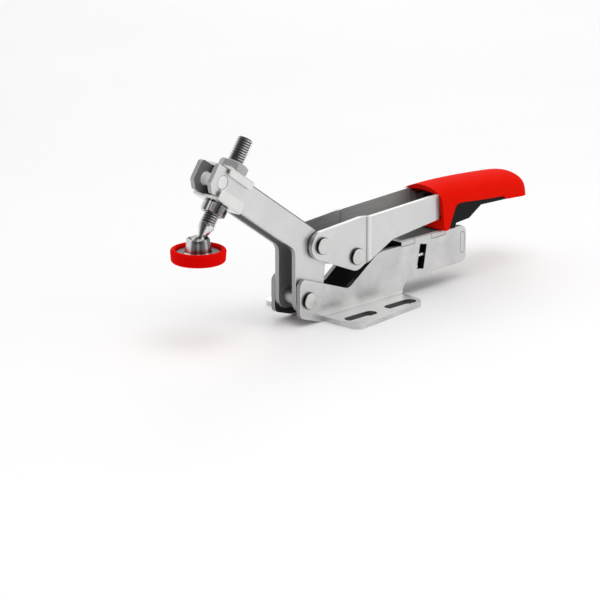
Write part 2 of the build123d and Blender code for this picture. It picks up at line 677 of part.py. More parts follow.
def lock_plate(shift):
    """A tilting plate on the rod that lets it run forwards only; its ears stand in the windows."""
    lean = radians(WINDOW_LEAN)
    upright = Plane(
        origin=(LOCK_MIDDLE_X + shift / cos(lean), 0, SLIDER_Z),
        x_dir=(0, 1, 0),
        z_dir=(cos(lean), 0, -sin(lean)),
    )
    with BuildPart() as made:
        with BuildSketch(upright.offset(-LOCK_SHEET / 2)) as face:
            with Locations((0, (LOCK_ABOVE - LOCK_BELOW) / 2)):
                Rectangle(2 * LOCK_HALF_WIDTH, LOCK_ABOVE + LOCK_BELOW)
            fillet(face.vertices(), radius=LOCK_CORNER)
            with Locations((0, -LOCK_EAR_DROP)):
                Rectangle(2 * LOCK_EAR_REACH, LOCK_EAR)
            Circle(ROD_R + LOCK_PLAY, mode=Mode.SUBTRACT)
        extrude(amount=LOCK_SHEET)
    return made.part


with BuildPart() as lock_plate_front:
    add(lock_plate(-LOCK_SHEET / 2 - SEAT))

with BuildPart() as lock_plate_rear:
    add(lock_plate(LOCK_SHEET / 2 + SEAT))

SCREW_REAR_X = REAR_PLATE_X + REAR_PLATE_SHEET / 2
SCREW_FRONT_X = SCREW_REAR_X - SCREW_LENGTH

# The grub screw in the rear plate sets the clamping force; its hexagon socket faces backwards.
with BuildPart() as force_screw:
    with BuildSketch(Plane.YZ.offset(SCREW_FRONT_X)):
        with Locations((0, SLIDER_Z)):
            Circle(SCREW_R)
    extrude(amount=SCREW_LENGTH)
    chamfer(force_screw.edges().filter_by(GeomType.CIRCLE), length=SCREW_CHAMFER)
    with BuildSketch(Plane.YZ.offset(SCREW_REAR_X)):
        with Locations((0, SLIDER_Z)):
            RegularPolygon(SCREW_KEY / 2, 6, major_radius=False)
    extrude(amount=-SCREW_KEY_DEPTH, mode=Mode.SUBTRACT)

LOCK_REAR_X = LOCK_MIDDLE_X + (LOCK_SHEET + SEAT) / cos(radians(WINDOW_LEAN))
SPRING_FRONT_X = LOCK_REAR_X + (SPRING_R + SPRING_WIRE_R) * WINDOW_SLOPE + SEAT
SPRING_LENGTH = SCREW_FRONT_X - SPRING_FRONT_X - 2 * SPRING_WIRE_R - 2 * SEAT

with BuildPart() as lock_spring:
    with BuildLine() as coil:
        Helix(
            pitch=SPRING_LENGTH / SPRING_TURNS,
            height=SPRING_LENGTH,
            radius=SPRING_R,
            center=(SPRING_FRONT_X + SPRING_WIRE_R, 0, SLIDER_Z),
            direction=(1, 0, 0),
        )
    with BuildSketch(Plane(origin=coil.line @ 0, z_dir=coil.line % 0)):
        Circle(SPRING_WIRE_R)
    sweep(path=coil.line)

# ================================================================ spindle and its clamp
BAR_CENTRE = on_bar(SPINDLE_BEHIND_NOSE, 0)
ACROSS_BAR = Plane(origin=(BAR_CENTRE[0], 0, BAR_CENTRE[1]), x_dir=(0, 1, 0), z_dir=BAR_X)
ON_BAR = Plane(origin=(BAR_CENTRE[0], 0, BAR_CENTRE[1]), x_dir=BAR_X, z_dir=BAR_UP)
SPINDLE_PLANE = Plane(origin=(BAR_CENTRE[0], 0, BAR_CENTRE[1]), x_dir=BAR_X, z_dir=(0, -1, 0))
SPINDLE_AXIS = Axis((BAR_CENTRE[0], 0, BAR_CENTRE[1]), BAR_UP)
SADDLE_IN = ARM_HALF_WIDTH + GAP / 2
SADDLE_OUT = SADDLE_IN + SADDLE_SHEET
SADDLE_FACE = ARM_DEPTH / 2 + SEAT


def saddle(up, flap):
    """A folded saddle on the bar's upper (up = 1) or lower (up = -1) edges, with two flaps."""
    section = [
        (-SADDLE_OUT, up * (SADDLE_FACE + SADDLE_SHEET)),
        (SADDLE_OUT, up * (SADDLE_FACE + SADDLE_SHEET)),
        (SADDLE_OUT, up * (SADDLE_FACE - flap)),
        (SADDLE_IN, up * (SADDLE_FACE - flap)),
        (SADDLE_IN, up * SADDLE_FACE),
        (-SADDLE_IN, up * SADDLE_FACE),
        (-SADDLE_IN, up * (SADDLE_FACE - flap)),
        (-SADDLE_OUT, up * (SADDLE_FACE - flap)),
    ]
    with BuildPart() as made:
        with BuildSketch(ACROSS_BAR.offset(-SADDLE_LENGTH / 2)) as face:
            with BuildLine():
                Polyline(*section, close=True)
            make_face()
            folds = face.vertices().sort_by_distance((0, up * (SADDLE_FACE + SADDLE_SHEET)))
            outer = [v for v in folds if abs(abs(v.X) - SADDLE_OUT) < SEAT and v.Y * up > SADDLE_FACE]
            fillet(outer, radius=SADDLE_ROUND)
        extrude(amount=SADDLE_LENGTH)
        corners = made.edges().filter_by(Axis.Y).group_by(SPINDLE_AXIS)[0 if up > 0 else -1]
        fillet(corners, radius=SADDLE_CORNER)
        with BuildSketch(ON_BAR.offset(up * SADDLE_FACE - SADDLE_SHEET * 2)):
            Circle(SPINDLE_R + RUN)
        extrude(amount=4 * SADDLE_SHEET, mode=Mode.SUBTRACT)
    return made.part


with BuildPart() as saddle_upper:
    add(saddle(1, UPPER_FLAP))

with BuildPart() as saddle_lower:
    add(saddle(-1, LOWER_FLAP))

NUT_FACE = SADDLE_FACE + SADDLE_SHEET + SEAT


def nut(bottom, height, turn):
    """A hexagon nut on the spindle, turned by some degrees, its corners turned off at both faces."""
    with BuildPart() as made:
        with BuildSketch(ON_BAR.offset(bottom)):
            RegularPolygon(NUT_FLATS / 2, 6, major_radius=False, rotation=turn)
        extrude(amount=height)
        with BuildSketch(SPINDLE_PLANE):
            corner_r = NUT_FLATS / 2 / cos(radians(30))
            with BuildLine():
                Polyline(
                    (0, bottom),
                    (corner_r - NUT_CHAMFER, bottom),
                    (corner_r, bottom + NUT_CHAMFER / 2),
                    (corner_r, bottom + height - NUT_CHAMFER / 2),
                    (corner_r - NUT_CHAMFER, bottom + height),
                    (0, bottom + height),
                    close=True,
                )
            make_face()
        revolve(axis=SPINDLE_AXIS, mode=Mode.INTERSECT)
        with BuildSketch(ON_BAR.offset(bottom)):
            Circle(SPINDLE_R + RUN)
        extrude(amount=height, mode=Mode.SUBTRACT)
    return made.part


with BuildPart() as nut_upper:
    add(nut(NUT_FACE, UPPER_NUT_H, 0))

with BuildPart() as nut_lower:
    add(nut(-NUT_FACE - LOWER_NUT_H, LOWER_NUT_H, 30))

# The spindle is turned in one piece with its ball.
with BuildPart() as spindle:
    with BuildSketch(SPINDLE_PLANE):
        with BuildLine():
            Polyline(
                (0, SPINDLE_ABOVE),
                (SPINDLE_R - SPINDLE_CHAMFER, SPINDLE_ABOVE),
                (SPINDLE_R, SPINDLE_ABOVE - SPINDLE_CHAMFER),
                (SPINDLE_R, -SPINDLE_THREAD_BELOW),
                (SPINDLE_NECK_R, -SPINDLE_THREAD_BELOW - SPINDLE_CONE),
                (SPINDLE_NECK_R, -SPINDLE_BALL_BELOW),
                (0, -SPINDLE_BALL_BELOW),
                close=True,
            )
        make_face()
    revolve(axis=SPINDLE_AXIS)
    with Locations(ON_BAR.offset(-SPINDLE_BALL_BELOW).location):
        Sphere(BALL_R)

BALL = (BAR_CENTRE[0] - SPINDLE_BALL_BELOW * BAR_UP[0], BAR_CENTRE[1] - SPINDLE_BALL_BELOW * BAR_UP[2])
PAD_AXIS = Axis((BALL[0], 0, 0), (0, 0, 1))
PAD_PLANE = Plane(origin=(BALL[0], 0, 0), x_dir=(1, 0, 0), z_dir=(0, -1, 0))
DISC_R = CAP_R - CAP_WALL - FIX
DISC_BOTTOM_Z = PAD_BOTTOM_Z + CAP_FLOOR
DISC_TOP_Z = DISC_BOTTOM_Z + DISC_SHEET
SOCKET_R = BALL_R + RUN

# The pad's steel socket: a disc and a collar whose rolled lip holds the ball.
with BuildPart() as pad_socket:
    with BuildSketch(PAD_PLANE):
        with BuildLine():
            Polyline(
                (0, DISC_BOTTOM_Z),
                (DISC_R, DISC_BOTTOM_Z),
                (DISC_R, DISC_TOP_Z),
                (COLLAR_FOOT_R + 1, DISC_TOP_Z),
                (COLLAR_FOOT_R, DISC_TOP_Z + 1),
                (COLLAR_TOP_R, COLLAR_TOP_Z - 0.5),
                (COLLAR_TOP_R - 0.3, COLLAR_TOP_Z),
                (COLLAR_MOUTH_R, COLLAR_TOP_Z),
                (SOCKET_LIP_R, BALL[1] + SOCKET_LIP_H),
                (0, BALL[1] + SOCKET_LIP_H),
                close=True,
            )
        make_face()
    revolve(axis=PAD_AXIS)
    with Locations((BALL[0], 0, BALL[1])):
        Sphere(SOCKET_R, mode=Mode.SUBTRACT)

with BuildPart() as pad_cap:
    with BuildSketch(PAD_PLANE) as section:
        with BuildLine():
            Polyline(
                (0, PAD_BOTTOM_Z),
                (CAP_R, PAD_BOTTOM_Z),
                (CAP_R, PAD_BOTTOM_Z + CAP_H),
                (CAP_R - CAP_WALL, PAD_BOTTOM_Z + CAP_H),
                (CAP_R - CAP_WALL, DISC_BOTTOM_Z - FIX),
                (0, DISC_BOTTOM_Z - FIX),
                close=True,
            )
        make_face()
        for corner, radius in (
            ((CAP_R, PAD_BOTTOM_Z), CAP_ROUND),
            ((CAP_R, PAD_BOTTOM_Z + CAP_H), CAP_WALL / 3),
            ((CAP_R - CAP_WALL, PAD_BOTTOM_Z + CAP_H), CAP_WALL / 3),
        ):
            fillet(section.vertices().sort_by_distance(corner)[0], radius=radius)
    revolve(axis=PAD_AXIS)


# ================================================================ grip
GRIP_SLICES = 6  # on each side of the middle
GRIP_FLOOR_Z = GRIP_TIP_FRONT[1] - 2


def edge_drop(radius, y, half_width):
    """How far a round of that radius has fallen at y, near a side at half_width."""
    into = max(abs(y) - half_width + radius, 0)
    return radius - sqrt(max(radius**2 - into**2, 0))


def grip_form(half_width, crown, wall, dome_r, edge_round, plan_round):
    """A solid domed body for the grip, or its hollow: side views of the crown lofted across Y."""
    with BuildPart() as made:
        for step in range(-GRIP_SLICES, GRIP_SLICES + 1):
            y = half_width * sin(radians(90 * step / GRIP_SLICES))
            drop = crown + dome_r - sqrt(dome_r**2 - y**2) + edge_drop(edge_round, y, half_width)
            back = wall + edge_drop(plan_round, y, half_width)
            share = [(x - GRIP_RIDGE[0][0]) / (GRIP_END[0] - GRIP_RIDGE[0][0]) for x, z in GRIP_RIDGE]
            ridge = [(x - back * part, z - drop) for (x, z), part in zip(GRIP_RIDGE, share)]
            end = (GRIP_END[0] - back, GRIP_END[1])
            with BuildSketch(Plane.XZ.offset(-y)):
                with BuildLine():
                    Spline(*ridge, end, tangents=((1, 0), (0.05, -1)))
                    Line(end, (end[0], GRIP_FLOOR_Z))
                    Line((end[0], GRIP_FLOOR_Z), (ridge[0][0], GRIP_FLOOR_Z))
                    Line((ridge[0][0], GRIP_FLOOR_Z), ridge[0])
                make_face()
        loft()
    return made.part


GRIP_IN = GRIP_HALF_WIDTH - GRIP_WALL
RIM_LEAN = (GRIP_TIP_FRONT[0] - GRIP_FRONT_TOP[0]) / (GRIP_FRONT_TOP[1] - GRIP_TIP_FRONT[1])
WEB_TOP_FRONT_X = GRIP_TIP_FRONT[0] - RIM_LEAN * (WEB_TOP_Z - GRIP_TIP_FRONT[1])

# The red shell is a domed trough with long side skirts; a web under the handle ties their tips.
with BuildPart() as grip_shell:
    add(grip_form(GRIP_HALF_WIDTH, 0, 0, GRIP_DOME_R, GRIP_EDGE_ROUND, GRIP_PLAN_ROUND))
    with BuildSketch(Plane.XZ.offset(-GRIP_HALF_WIDTH)) as side_view:
        with BuildLine():
            Polyline(
                GRIP_FRONT_TOP,
                GRIP_TIP_FRONT,
                GRIP_TIP_REAR,
                *GRIP_SKIRT,
                GRIP_END,
                (GRIP_END[0], GRIP_FRONT_TOP[1]),
                close=True,
            )
        make_face()
        fillet(side_view.vertices().sort_by_distance(GRIP_SKIRT[0])[0], radius=GRIP_SKIRT_ROUND)
    extrude(amount=2 * GRIP_HALF_WIDTH, mode=Mode.INTERSECT)
    add(
        grip_form(
            GRIP_IN,
            GRIP_CROWN,
            GRIP_WALL,
            GRIP_CEILING_R,
            GRIP_CEILING_ROUND,
            GRIP_PLAN_ROUND - GRIP_WALL,
        ),
        mode=Mode.SUBTRACT,
    )
    with BuildSketch(Plane.XZ.offset(-GRIP_IN)):
        with BuildLine():
            Polyline(
                GRIP_TIP_FRONT,
                GRIP_TIP_REAR,
                (GRIP_TIP_REAR[0], WEB_TOP_Z),
                (WEB_TOP_FRONT_X, WEB_TOP_Z),
                close=True,
            )
        make_face()
    extrude(amount=2 * GRIP_IN)

INSERT_OUT = GRIP_IN - INSERT_SIDE_GAP
INSERT_HEEL_Z = HOUSING_TOP_Z + HOUSING_CREST + GAP
POCKET_LENGTH = TANG_END_X + GAP - INSERT_HEEL[0]

# The black insert closes the grip from below, and the handle's tangs stand in its two pockets.
with BuildPart() as grip_insert:
    with BuildSketch(Plane.XZ.offset(-INSERT_OUT)):
        with BuildLine():
            Polyline(
                (INSERT_HEEL[0], INSERT_HEEL_Z),
                (INSERT_HEEL[1], INSERT_HEEL_Z),
                *INSERT_BOTTOM,
                (INSERT_BOTTOM[-1][0], INSERT_TOP_Z),
                (INSERT_FRONT_X, INSERT_TOP_Z),
                close=True,
            )
        make_face()
    extrude(amount=2 * INSERT_OUT)
    with BuildSketch(Plane.XY.offset(TANG_BOTTOM_Z - GAP)):
        with Locations((INSERT_HEEL[0] + POCKET_LENGTH / 2, 0)):
            with GridLocations(1, 2 * TANG_OUT - HANDLE_SHEET, 1, 2):
                Rectangle(POCKET_LENGTH, HANDLE_SHEET + 2 * INSERT_SIDE_GAP)
    extrude(amount=INSERT_TOP_Z, mode=Mode.SUBTRACT)

PIECES = {
    "base_side_left": base_side_left,
    "base_side_right": base_side_right,
    "cover_plate": cover_plate,
    "rear_plate": rear_plate,
    "arm_pivot_rivet": arm_pivot_rivet,
    "arm_cheek_left": arm_cheek_left,
    "arm_cheek_right": arm_cheek_right,
    "nose_rivet": nose_rivet,
    "arm_pivot_bush": arm_pivot_bush,
    "handle_pivot_bush": handle_pivot_bush,
    "handle_plate_left": handle_plate_left,
    "handle_plate_right": handle_plate_right,
    "handle_pivot_rivet": handle_pivot_rivet,
    "link_pivot_rivet": link_pivot_rivet,
    "pivot_washer_left": pivot_washer_left,
    "pivot_washer_right": pivot_washer_right,
    "link": link,
    "link_pin": link_pin,
    "slider": slider,
    "slider_rod": slider_rod,
    "lock_plate_front": lock_plate_front,
    "lock_plate_rear": lock_plate_rear,
    "lock_spring": lock_spring,
    "force_screw": force_screw,
    "saddle_upper": saddle_upper,
    "saddle_lower": saddle_lower,
    "nut_upper": nut_upper,
    "nut_lower": nut_lower,
    "spindle": spindle,
    "pad_socket": pad_socket,
    "pad_cap": pad_cap,
    "grip_shell": grip_shell,
    "grip_insert": grip_insert,
}

os.makedirs("parts", exist_ok=True)
for label, piece in PIECES.items():
    piece.part.label = label
    export_step(piece.part, f"parts/{label}.step")
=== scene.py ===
"""Looks of a horizontal toggle clamp: satin zinc sheet, turned and threaded steel, red grip and pad cap.

Everything is in metres in the part's own frame: +X points to the grip, +Z is up and Y runs across the clamp.
"""
import json
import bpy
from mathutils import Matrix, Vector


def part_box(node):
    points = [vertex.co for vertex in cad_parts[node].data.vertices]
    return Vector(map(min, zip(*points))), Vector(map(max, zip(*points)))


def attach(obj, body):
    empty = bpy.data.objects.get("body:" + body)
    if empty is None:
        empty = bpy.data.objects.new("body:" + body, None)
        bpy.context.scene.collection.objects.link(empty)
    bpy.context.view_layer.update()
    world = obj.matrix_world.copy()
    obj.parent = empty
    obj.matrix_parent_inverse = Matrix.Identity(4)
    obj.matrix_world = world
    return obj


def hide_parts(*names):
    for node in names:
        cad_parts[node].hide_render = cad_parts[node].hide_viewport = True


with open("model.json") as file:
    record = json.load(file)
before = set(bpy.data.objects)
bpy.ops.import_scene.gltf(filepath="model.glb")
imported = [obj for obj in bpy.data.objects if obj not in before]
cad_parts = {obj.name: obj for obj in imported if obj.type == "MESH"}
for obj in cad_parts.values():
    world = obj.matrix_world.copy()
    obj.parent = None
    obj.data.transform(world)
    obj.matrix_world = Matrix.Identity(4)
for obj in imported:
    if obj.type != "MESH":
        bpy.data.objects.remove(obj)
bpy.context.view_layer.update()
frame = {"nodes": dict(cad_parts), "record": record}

import bmesh
import bpy
import numpy as np
from mathutils import Vector

MM = 0.001
TURN = 2 * np.pi

# ------------------------------------------------------------------ camera
CAMERA_PLACE = (-1.1198, -1.0609, 0.4655)
CAMERA_TARGET = (-0.01027, 0.02378, 0.0)
CAMERA_LENS = 193.6
CAMERA_SENSOR = 36.0

# ------------------------------------------------------------------ light
LAMP_OVER = 4.0
LAMP_BEHIND = 2.0
LAMP_FRONT = 1.0
ROOM_LEVEL = 0.85
DARK_SIDE = (-0.69, -0.66, 0.30)

# ------------------------------------------------------------------ places of the turned pieces (x, z)
ARM_PIVOT = (-38.3 * MM, 12.7 * MM)
HANDLE_PIVOT = (-29.2 * MM, 38.7 * MM)
LINK_PIVOT = (-4.7 * MM, 28.4 * MM)
NOSE_RIVET = (-93.7 * MM, 82.0 * MM)
BAR_RISE = np.radians(35.0)
BAR_ALONG = np.array([np.cos(BAR_RISE), 0.0, -np.sin(BAR_RISE)])
BAR_UP = np.array([np.sin(BAR_RISE), 0.0, np.cos(BAR_RISE)])
SPINDLE_MIDDLE = np.array([NOSE_RIVET[0], 0.0, NOSE_RIVET[1]]) + 9.0 * MM * BAR_ALONG
ACROSS = np.array([0.0, 1.0, 0.0])
BALL_BELOW = 29.8 * MM
BALL_CENTRE = SPINDLE_MIDDLE - BALL_BELOW * BAR_UP
THREAD_END = -20.4 * MM  # along the spindle, from the middle of the bar
THREAD_ROOT, THREAD_CREST = 3.35 * MM, 3.85 * MM  # radii between which the painted shade in the thread's roots fades out
HUB = 0.2 * MM  # a turned profile's distance from its axis where it is closed
RIVET_R = 3.0 * MM
RIVET_HEAD_R = 4.3 * MM

# ------------------------------------------------------------------ bar, saddles and nuts
BAR_DEPTH = 14.4 * MM
# above this height the arm is painted dark as shade along its upper edge
BAR_SHADE_LINE = 20.15 * MM  # along BAR_UP from the origin, just under the bar's upper edge
SADDLE_SHEET = 1.4 * MM
SEAT = 0.05 * MM
NUT_FACE = BAR_DEPTH / 2 + SADDLE_SHEET + 2 * SEAT
NUT_ABOVE_HEIGHT, NUT_ABOVE_FLATS = 4.4 * MM, 13.0 * MM
NUT_BELOW_HEIGHT, NUT_BELOW_FLATS = 5.2 * MM, 11.2 * MM

# ------------------------------------------------------------------ lock plates, base and pad
LOCK_MIDDLE = np.array([43.408 * MM, 0.0, 19.721 * MM])
LOCK_LEAN = np.radians(10.6)
WING_PLAN = np.array([(2.45, 5.9), (2.45, 7.1), (6.0, 7.1), (6.0, 5.9)]) * MM  # behind the middle, sideways
WING_HEIGHTS = np.array([-8.4, 5.2]) * MM
EAR_BRIGHT_FROM = 7.6 * MM  # from the middle plane
FOOT_TOP = 2.6 * MM  # just over the flat foot of the base
PAD_MATT_BELOW = 48.6 * MM  # just over the pad's flat disc

# ------------------------------------------------------------------ grip (x, z), its lines in millimetres
GRIP_HALF_WIDTH = 13.5 * MM
GRIP_WALL = 2.1 * MM
GRIP_CROWN = 2.6 * MM
GRIP_ROWS = 150
GRIP_FRONT_TOP = (53.5 * MM, 53.0 * MM)
GRIP_TIP = (56.4 * MM, 29.9 * MM)
GRIP_RIDGE = [(53.6, 52.2), (66.0, 52.25), (80.0, 51.8), (92.0, 51.1), (103.0, 50.3), (110.0, 49.7)]
GRIP_RIDGE += [(115.5, 48.9), (119.0, 47.8), (121.5, 45.7), (122.9, 42.0), (123.6, 36.5)]
GRIP_SKIRT = [(56.4, 29.9), (59.5, 29.9), (61.3, 34.0), (63.2, 38.0), (64.5, 40.8), (66.0, 42.1)]
GRIP_SKIRT += [(68.5, 42.4), (80.0, 41.4), (92.0, 40.4), (101.8, 39.5), (103.4, 38.8), (104.9, 37.6)]
GRIP_SKIRT += [(109.5, 37.3), (114.6, 36.98)]
GRIP_SHOULDER_Z = 47.5 * MM
GRIP_WEB_TOP_Z = 35.6 * MM
TAIL_FRONT = (104.9 * MM, 37.6 * MM)
TAIL_LENGTH = 9.7 * MM
TAIL_SLOPE = 1.2 / 18.7


# ================================================================== camera, floor and light
def aim(thing, place, target):
    """Puts a camera or lamp at a place, looking at the target with +Z upwards."""
    thing.location = place
    thing.rotation_mode = "QUATERNION"
    thing.rotation_quaternion = (Vector(target) - Vector(place)).to_track_quat("-Z", "Y")
    bpy.context.scene.collection.objects.link(thing)
    return thing


def make_camera():
    data = bpy.data.cameras.new("camera")
    data.lens = CAMERA_LENS
    data.sensor_width = CAMERA_SENSOR
    data.clip_start = 0.05
    data.clip_end = 50.0
    camera = aim(bpy.data.objects.new("camera", data), CAMERA_PLACE, CAMERA_TARGET)
    bpy.context.scene.camera = camera


def soft_lamp(name, place, size, watts):
    data = bpy.data.lights.new(name, "AREA")
    data.shape = "DISK"
    data.size = size
    data.energy = watts
    return aim(bpy.data.objects.new(name, data), place, (0.0, 0.0, 0.03))


def make_light():
    """Soft lamps over and beside the clamp, in a pale room that is darker on the side of the viewer."""
    soft_lamp("lamp_over", (-0.25, -0.35, 1.1), 0.9, LAMP_OVER)
    soft_lamp("lamp_behind", (0.9, 0.8, 0.7), 0.7, LAMP_BEHIND)
    soft_lamp("lamp_front", (0.5, -1.0, 0.5), 0.4, LAMP_FRONT)
    world = bpy.data.worlds.new("room")
    bpy.context.scene.world = world
    world.use_nodes = True
    tree = world.node_tree
    tree.nodes.clear()
    out = tree.nodes.new("ShaderNodeOutputWorld")
    plain = tree.nodes.new("ShaderNodeBackground")
    plain.inputs["Color"].default_value = (1.0, 1.0, 1.0, 1.0)
    plain.inputs["Strength"].default_value = 1.0
    room = tree.nodes.new("ShaderNodeBackground")
    room.inputs["Strength"].default_value = ROOM_LEVEL
    where = tree.nodes.new("ShaderNodeTexCoord")
    towards = tree.nodes.new("ShaderNodeVectorMath")
    towards.operation = "DOT_PRODUCT"
    towards.inputs[1].default_value = DARK_SIDE
    tree.links.new(where.outputs["Generated"], towards.inputs[0])
    shade = tree.nodes.new("ShaderNodeValToRGB")
    tree.links.new(towards.outputs["Value"], shade.inputs["Fac"])
    marks = shade.color_ramp.elements
    marks[0].position, marks[0].color = 0.55, (1.0, 1.0, 1.0, 1.0)
    marks[1].position, marks[1].color = 0.86, (0.10, 0.10, 0.105, 1.0)
    tree.links.new(shade.outputs["Color"], room.inputs["Color"])
    path = tree.nodes.new("ShaderNodeLightPath")
    mix = tree.nodes.new("ShaderNodeMixShader")
    tree.links.new(path.outputs["Is Camera Ray"], mix.inputs["Fac"])
    tree.links.new(room.outputs["Background"], mix.inputs[1])
    tree.links.new(plain.outputs["Background"], mix.inputs[2])
    tree.links.new(mix.outputs["Shader"], out.inputs["Surface"])


# ================================================================== materials
def grey(level, blue=None):
    """A grey tone, with a little less blue where that is given."""
    return (level, level, level if blue is None else blue)


# painted shade for the insides of openings and the gaps round tabs
HOLE_AND_GAP_SHADE = grey(0.10)
ROOT_SHADE = grey(0.16)
DULL_IOR = 1.20
HIDDEN_ROUGHER = 0.22
HIDDEN_DULLER = 0.7


class Finish:
    """A material under construction: a principled shader and short ways to add nodes to it."""

    def __init__(self, name, colour, metallic, roughness):
        self.material = bpy.data.materials.new(name)
        self.material.use_nodes = True
        self.tree = self.material.node_tree
        self.shader = next(n for n in self.tree.nodes if n.type == "BSDF_PRINCIPLED")
        self.shader.inputs["Base Color"].default_value = (*colour, 1.0)
        self.shader.inputs["Metallic"].default_value = metallic
        self.shader.inputs["Roughness"].default_value = roughness
        self.where = self.add("ShaderNodeTexCoord")
        self.place = self.where.outputs["Object"]

    def add(self, kind, **settings):
        node = self.tree.nodes.new(kind)
        for key, value in settings.items():
            setattr(node, key, value)
        return node

    def join(self, start, end):
        self.tree.links.new(start, end)

    def mapped(self, scale):
        """The place on the piece, stretched."""
        node = self.add("ShaderNodeMapping")
        node.inputs["Scale"].default_value = scale
        self.join(self.place, node.inputs["Vector"])
        return node.outputs["Vector"]

    def noise(self, vector, scale, detail=3.0, distortion=0.0):
        node = self.add("ShaderNodeTexNoise")
        node.inputs["Scale"].default_value = scale
        node.inputs["Detail"].default_value = detail
        node.inputs["Distortion"].default_value = distortion
        self.join(vector, node.inputs["Vector"])
        return node.outputs["Fac"]

    def between(self, value, low, high, start=0.3, end=0.7):
        """The value, taken from start..end to low..high."""
        node = self.add("ShaderNodeMapRange", clamp=True)
        for key, number in (("From Min", start), ("From Max", end), ("To Min", low), ("To Max", high)):
            node.inputs[key].default_value = number
        self.join(value, node.inputs["Value"])
        return node.outputs["Result"]

    def mixed(self, factor, first, second, blend="MIX"):
        """Two colours or two sockets, mixed by a socket or a number."""
        node = self.add("ShaderNodeMix", data_type="RGBA", blend_type=blend)
        sockets = [s for s in node.inputs if s.type == "RGBA"]
        for socket, given in ((node.inputs["Factor"], factor), (sockets[0], first), (sockets[1], second)):
            if isinstance(given, bpy.types.NodeSocket):
                self.join(given, socket)
            elif isinstance(given, float):
                socket.default_value = given
            else:
                socket.default_value = (*given, 1.0)
        return next(s for s in node.outputs if s.type == "RGBA")

    def maths(self, operation, first, second=0.0):
        node = self.add("ShaderNodeMath", operation=operation)
        for socket, given in zip(node.inputs, (first, second)):
            if isinstance(given, bpy.types.NodeSocket):
                self.join(given, socket)
            else:
                socket.default_value = given
        return node.outputs["Value"]

    def bump(self, height, distance, strength=1.0, after=None):
        node = self.add("ShaderNodeBump")
        node.inputs["Strength"].default_value = strength
        node.inputs["Distance"].default_value = distance
        self.join(height, node.inputs["Height"])
        if after is not None:
            self.join(after, node.inputs["Normal"])
        return node.outputs["Normal"]

    def rounded_edges(self, radius):
        """The normal rounded over at edges, and how near a point lies to an edge, 0 to 1."""
        rounded = self.add("ShaderNodeBevel", samples=6)
        rounded.inputs["Radius"].default_value = radius
        flat = self.add("ShaderNodeNewGeometry")
        dot = self.add("ShaderNodeVectorMath", operation="DOT_PRODUCT")
        self.join(rounded.outputs["Normal"], dot.inputs[0])
        self.join(flat.outputs["Normal"], dot.inputs[1])
        nearness = self.between(dot.outputs["Value"], 0.0, 1.0, start=0.995, end=0.80)
        return rounded.outputs["Normal"], nearness

    def along(self, output, axis):
        """One coordinate of the place on the piece ("Object") or of the way it faces ("Normal")."""
        node = self.add("ShaderNodeSeparateXYZ")
        self.join(self.where.outputs[output], node.inputs["Vector"])
        return node.outputs[axis]

    def facing_middle(self):
        """1 on faces that look towards the middle plane of the clamp, 0 elsewhere."""
        side = self.maths("SIGN", self.along("Object", "Y"))
        return self.maths("LESS_THAN", self.maths("MULTIPLY", side, self.along("Normal", "Y")), -0.5)

    def cut_faces(self, above):
        """1 above a height on the cut faces of plates that stand along the clamp, 0 elsewhere."""
        cut = self.maths("LESS_THAN", self.maths("ABSOLUTE", self.along("Normal", "Y")), 0.5)
        return self.maths("MULTIPLY", cut, self.maths("GREATER_THAN", self.along("Object", "Z"), above))

    def inside(self, low, high):
        """1 in a box from low to high, whose y counts from the middle plane, 0 elsewhere."""
        within = 1.0
        for axis, start, end in zip("XYZ", low, high):
            value = self.along("Object", axis)
            if axis == "Y":
                value = self.maths("ABSOLUTE", value)
            off = self.maths("ABSOLUTE", self.maths("SUBTRACT", value, (start + end) / 2))
            within = self.maths("MULTIPLY", self.maths("LESS_THAN", off, (end - start) / 2), within)
        return within

    def capsule(self, middle, half):
        """Distance in the plane of the plates from a straight bar with that middle and half lengths."""
        outside = []
        for axis, at, length in zip("XZ", middle, half):
            off = self.maths("ABSOLUTE", self.maths("SUBTRACT", self.along("Object", axis), at))
            outside.append(self.maths("MAXIMUM", self.maths("SUBTRACT", off, length), 0.0))
        squares = [self.maths("MULTIPLY", value, value) for value in outside]
        return self.maths("SQRT", self.maths("ADD", *squares))

    def vector(self, operation, first, second=None):
        """A vector operation on a socket and either a fixed vector or nothing."""
        node = self.add("ShaderNodeVectorMath", operation=operation)
        self.join(first, node.inputs[0])
        if second is not None:
            node.inputs[1].default_value = second
        return node.outputs["Value" if operation in ("DOT_PRODUCT", "LENGTH") else "Vector"]

    def across(self, through, axis):
        """The place seen from a line: as long as its distance, and turned a quarter round the line."""
        return self.vector("CROSS_PRODUCT", self.vector("SUBTRACT", self.place, through), axis)

    def streaks(self, centre, axis, count, shift):
        """Soft dark lines of painted reflection that run along a turned piece: noise over the direction from
        its axis.
        """
        moved = self.vector("ADD", self.vector("NORMALIZE", self.across(centre, axis)), (shift, shift, shift))
        return self.between(self.noise(moved, count, 1.0), 0.0, 1.0, 0.42, 0.58)

    def two_reflection_bands(self, centre, axis, shift):
        """Painted reflection: 0 in two narrow dark lines that run along a turned piece, 1 between them: sin(2
        angle + shift).
        """
        parts = self.add("ShaderNodeSeparateXYZ")
        self.join(self.vector("NORMALIZE", self.across(centre, axis)), parts.inputs["Vector"])
        lift = self.maths("DIVIDE", parts.outputs["X"], axis[2])
        angle = self.maths("ARCTAN2", parts.outputs["Y"], lift)
        wave = self.maths("SINE", self.maths("ADD", self.maths("MULTIPLY", angle, 2.0), shift))
        return self.between(wave, 0.0, 1.0, -0.85, -0.45)

    def band(self, value, middle, width):
        """1 in the middle of a soft band of that value, fading to 0 at its sides."""
        off = self.maths("ABSOLUTE", self.maths("SUBTRACT", value, middle))
        return self.between(off, 1.0, 0.0, 0.0, width / 2)

    def colour(self, socket):
        self.join(socket, self.shader.inputs["Base Color"])

    def roughness(self, socket):
        self.join(socket, self.shader.inputs["Roughness"])

    def normal(self, socket):
        self.join(socket, self.shader.inputs["Normal"])


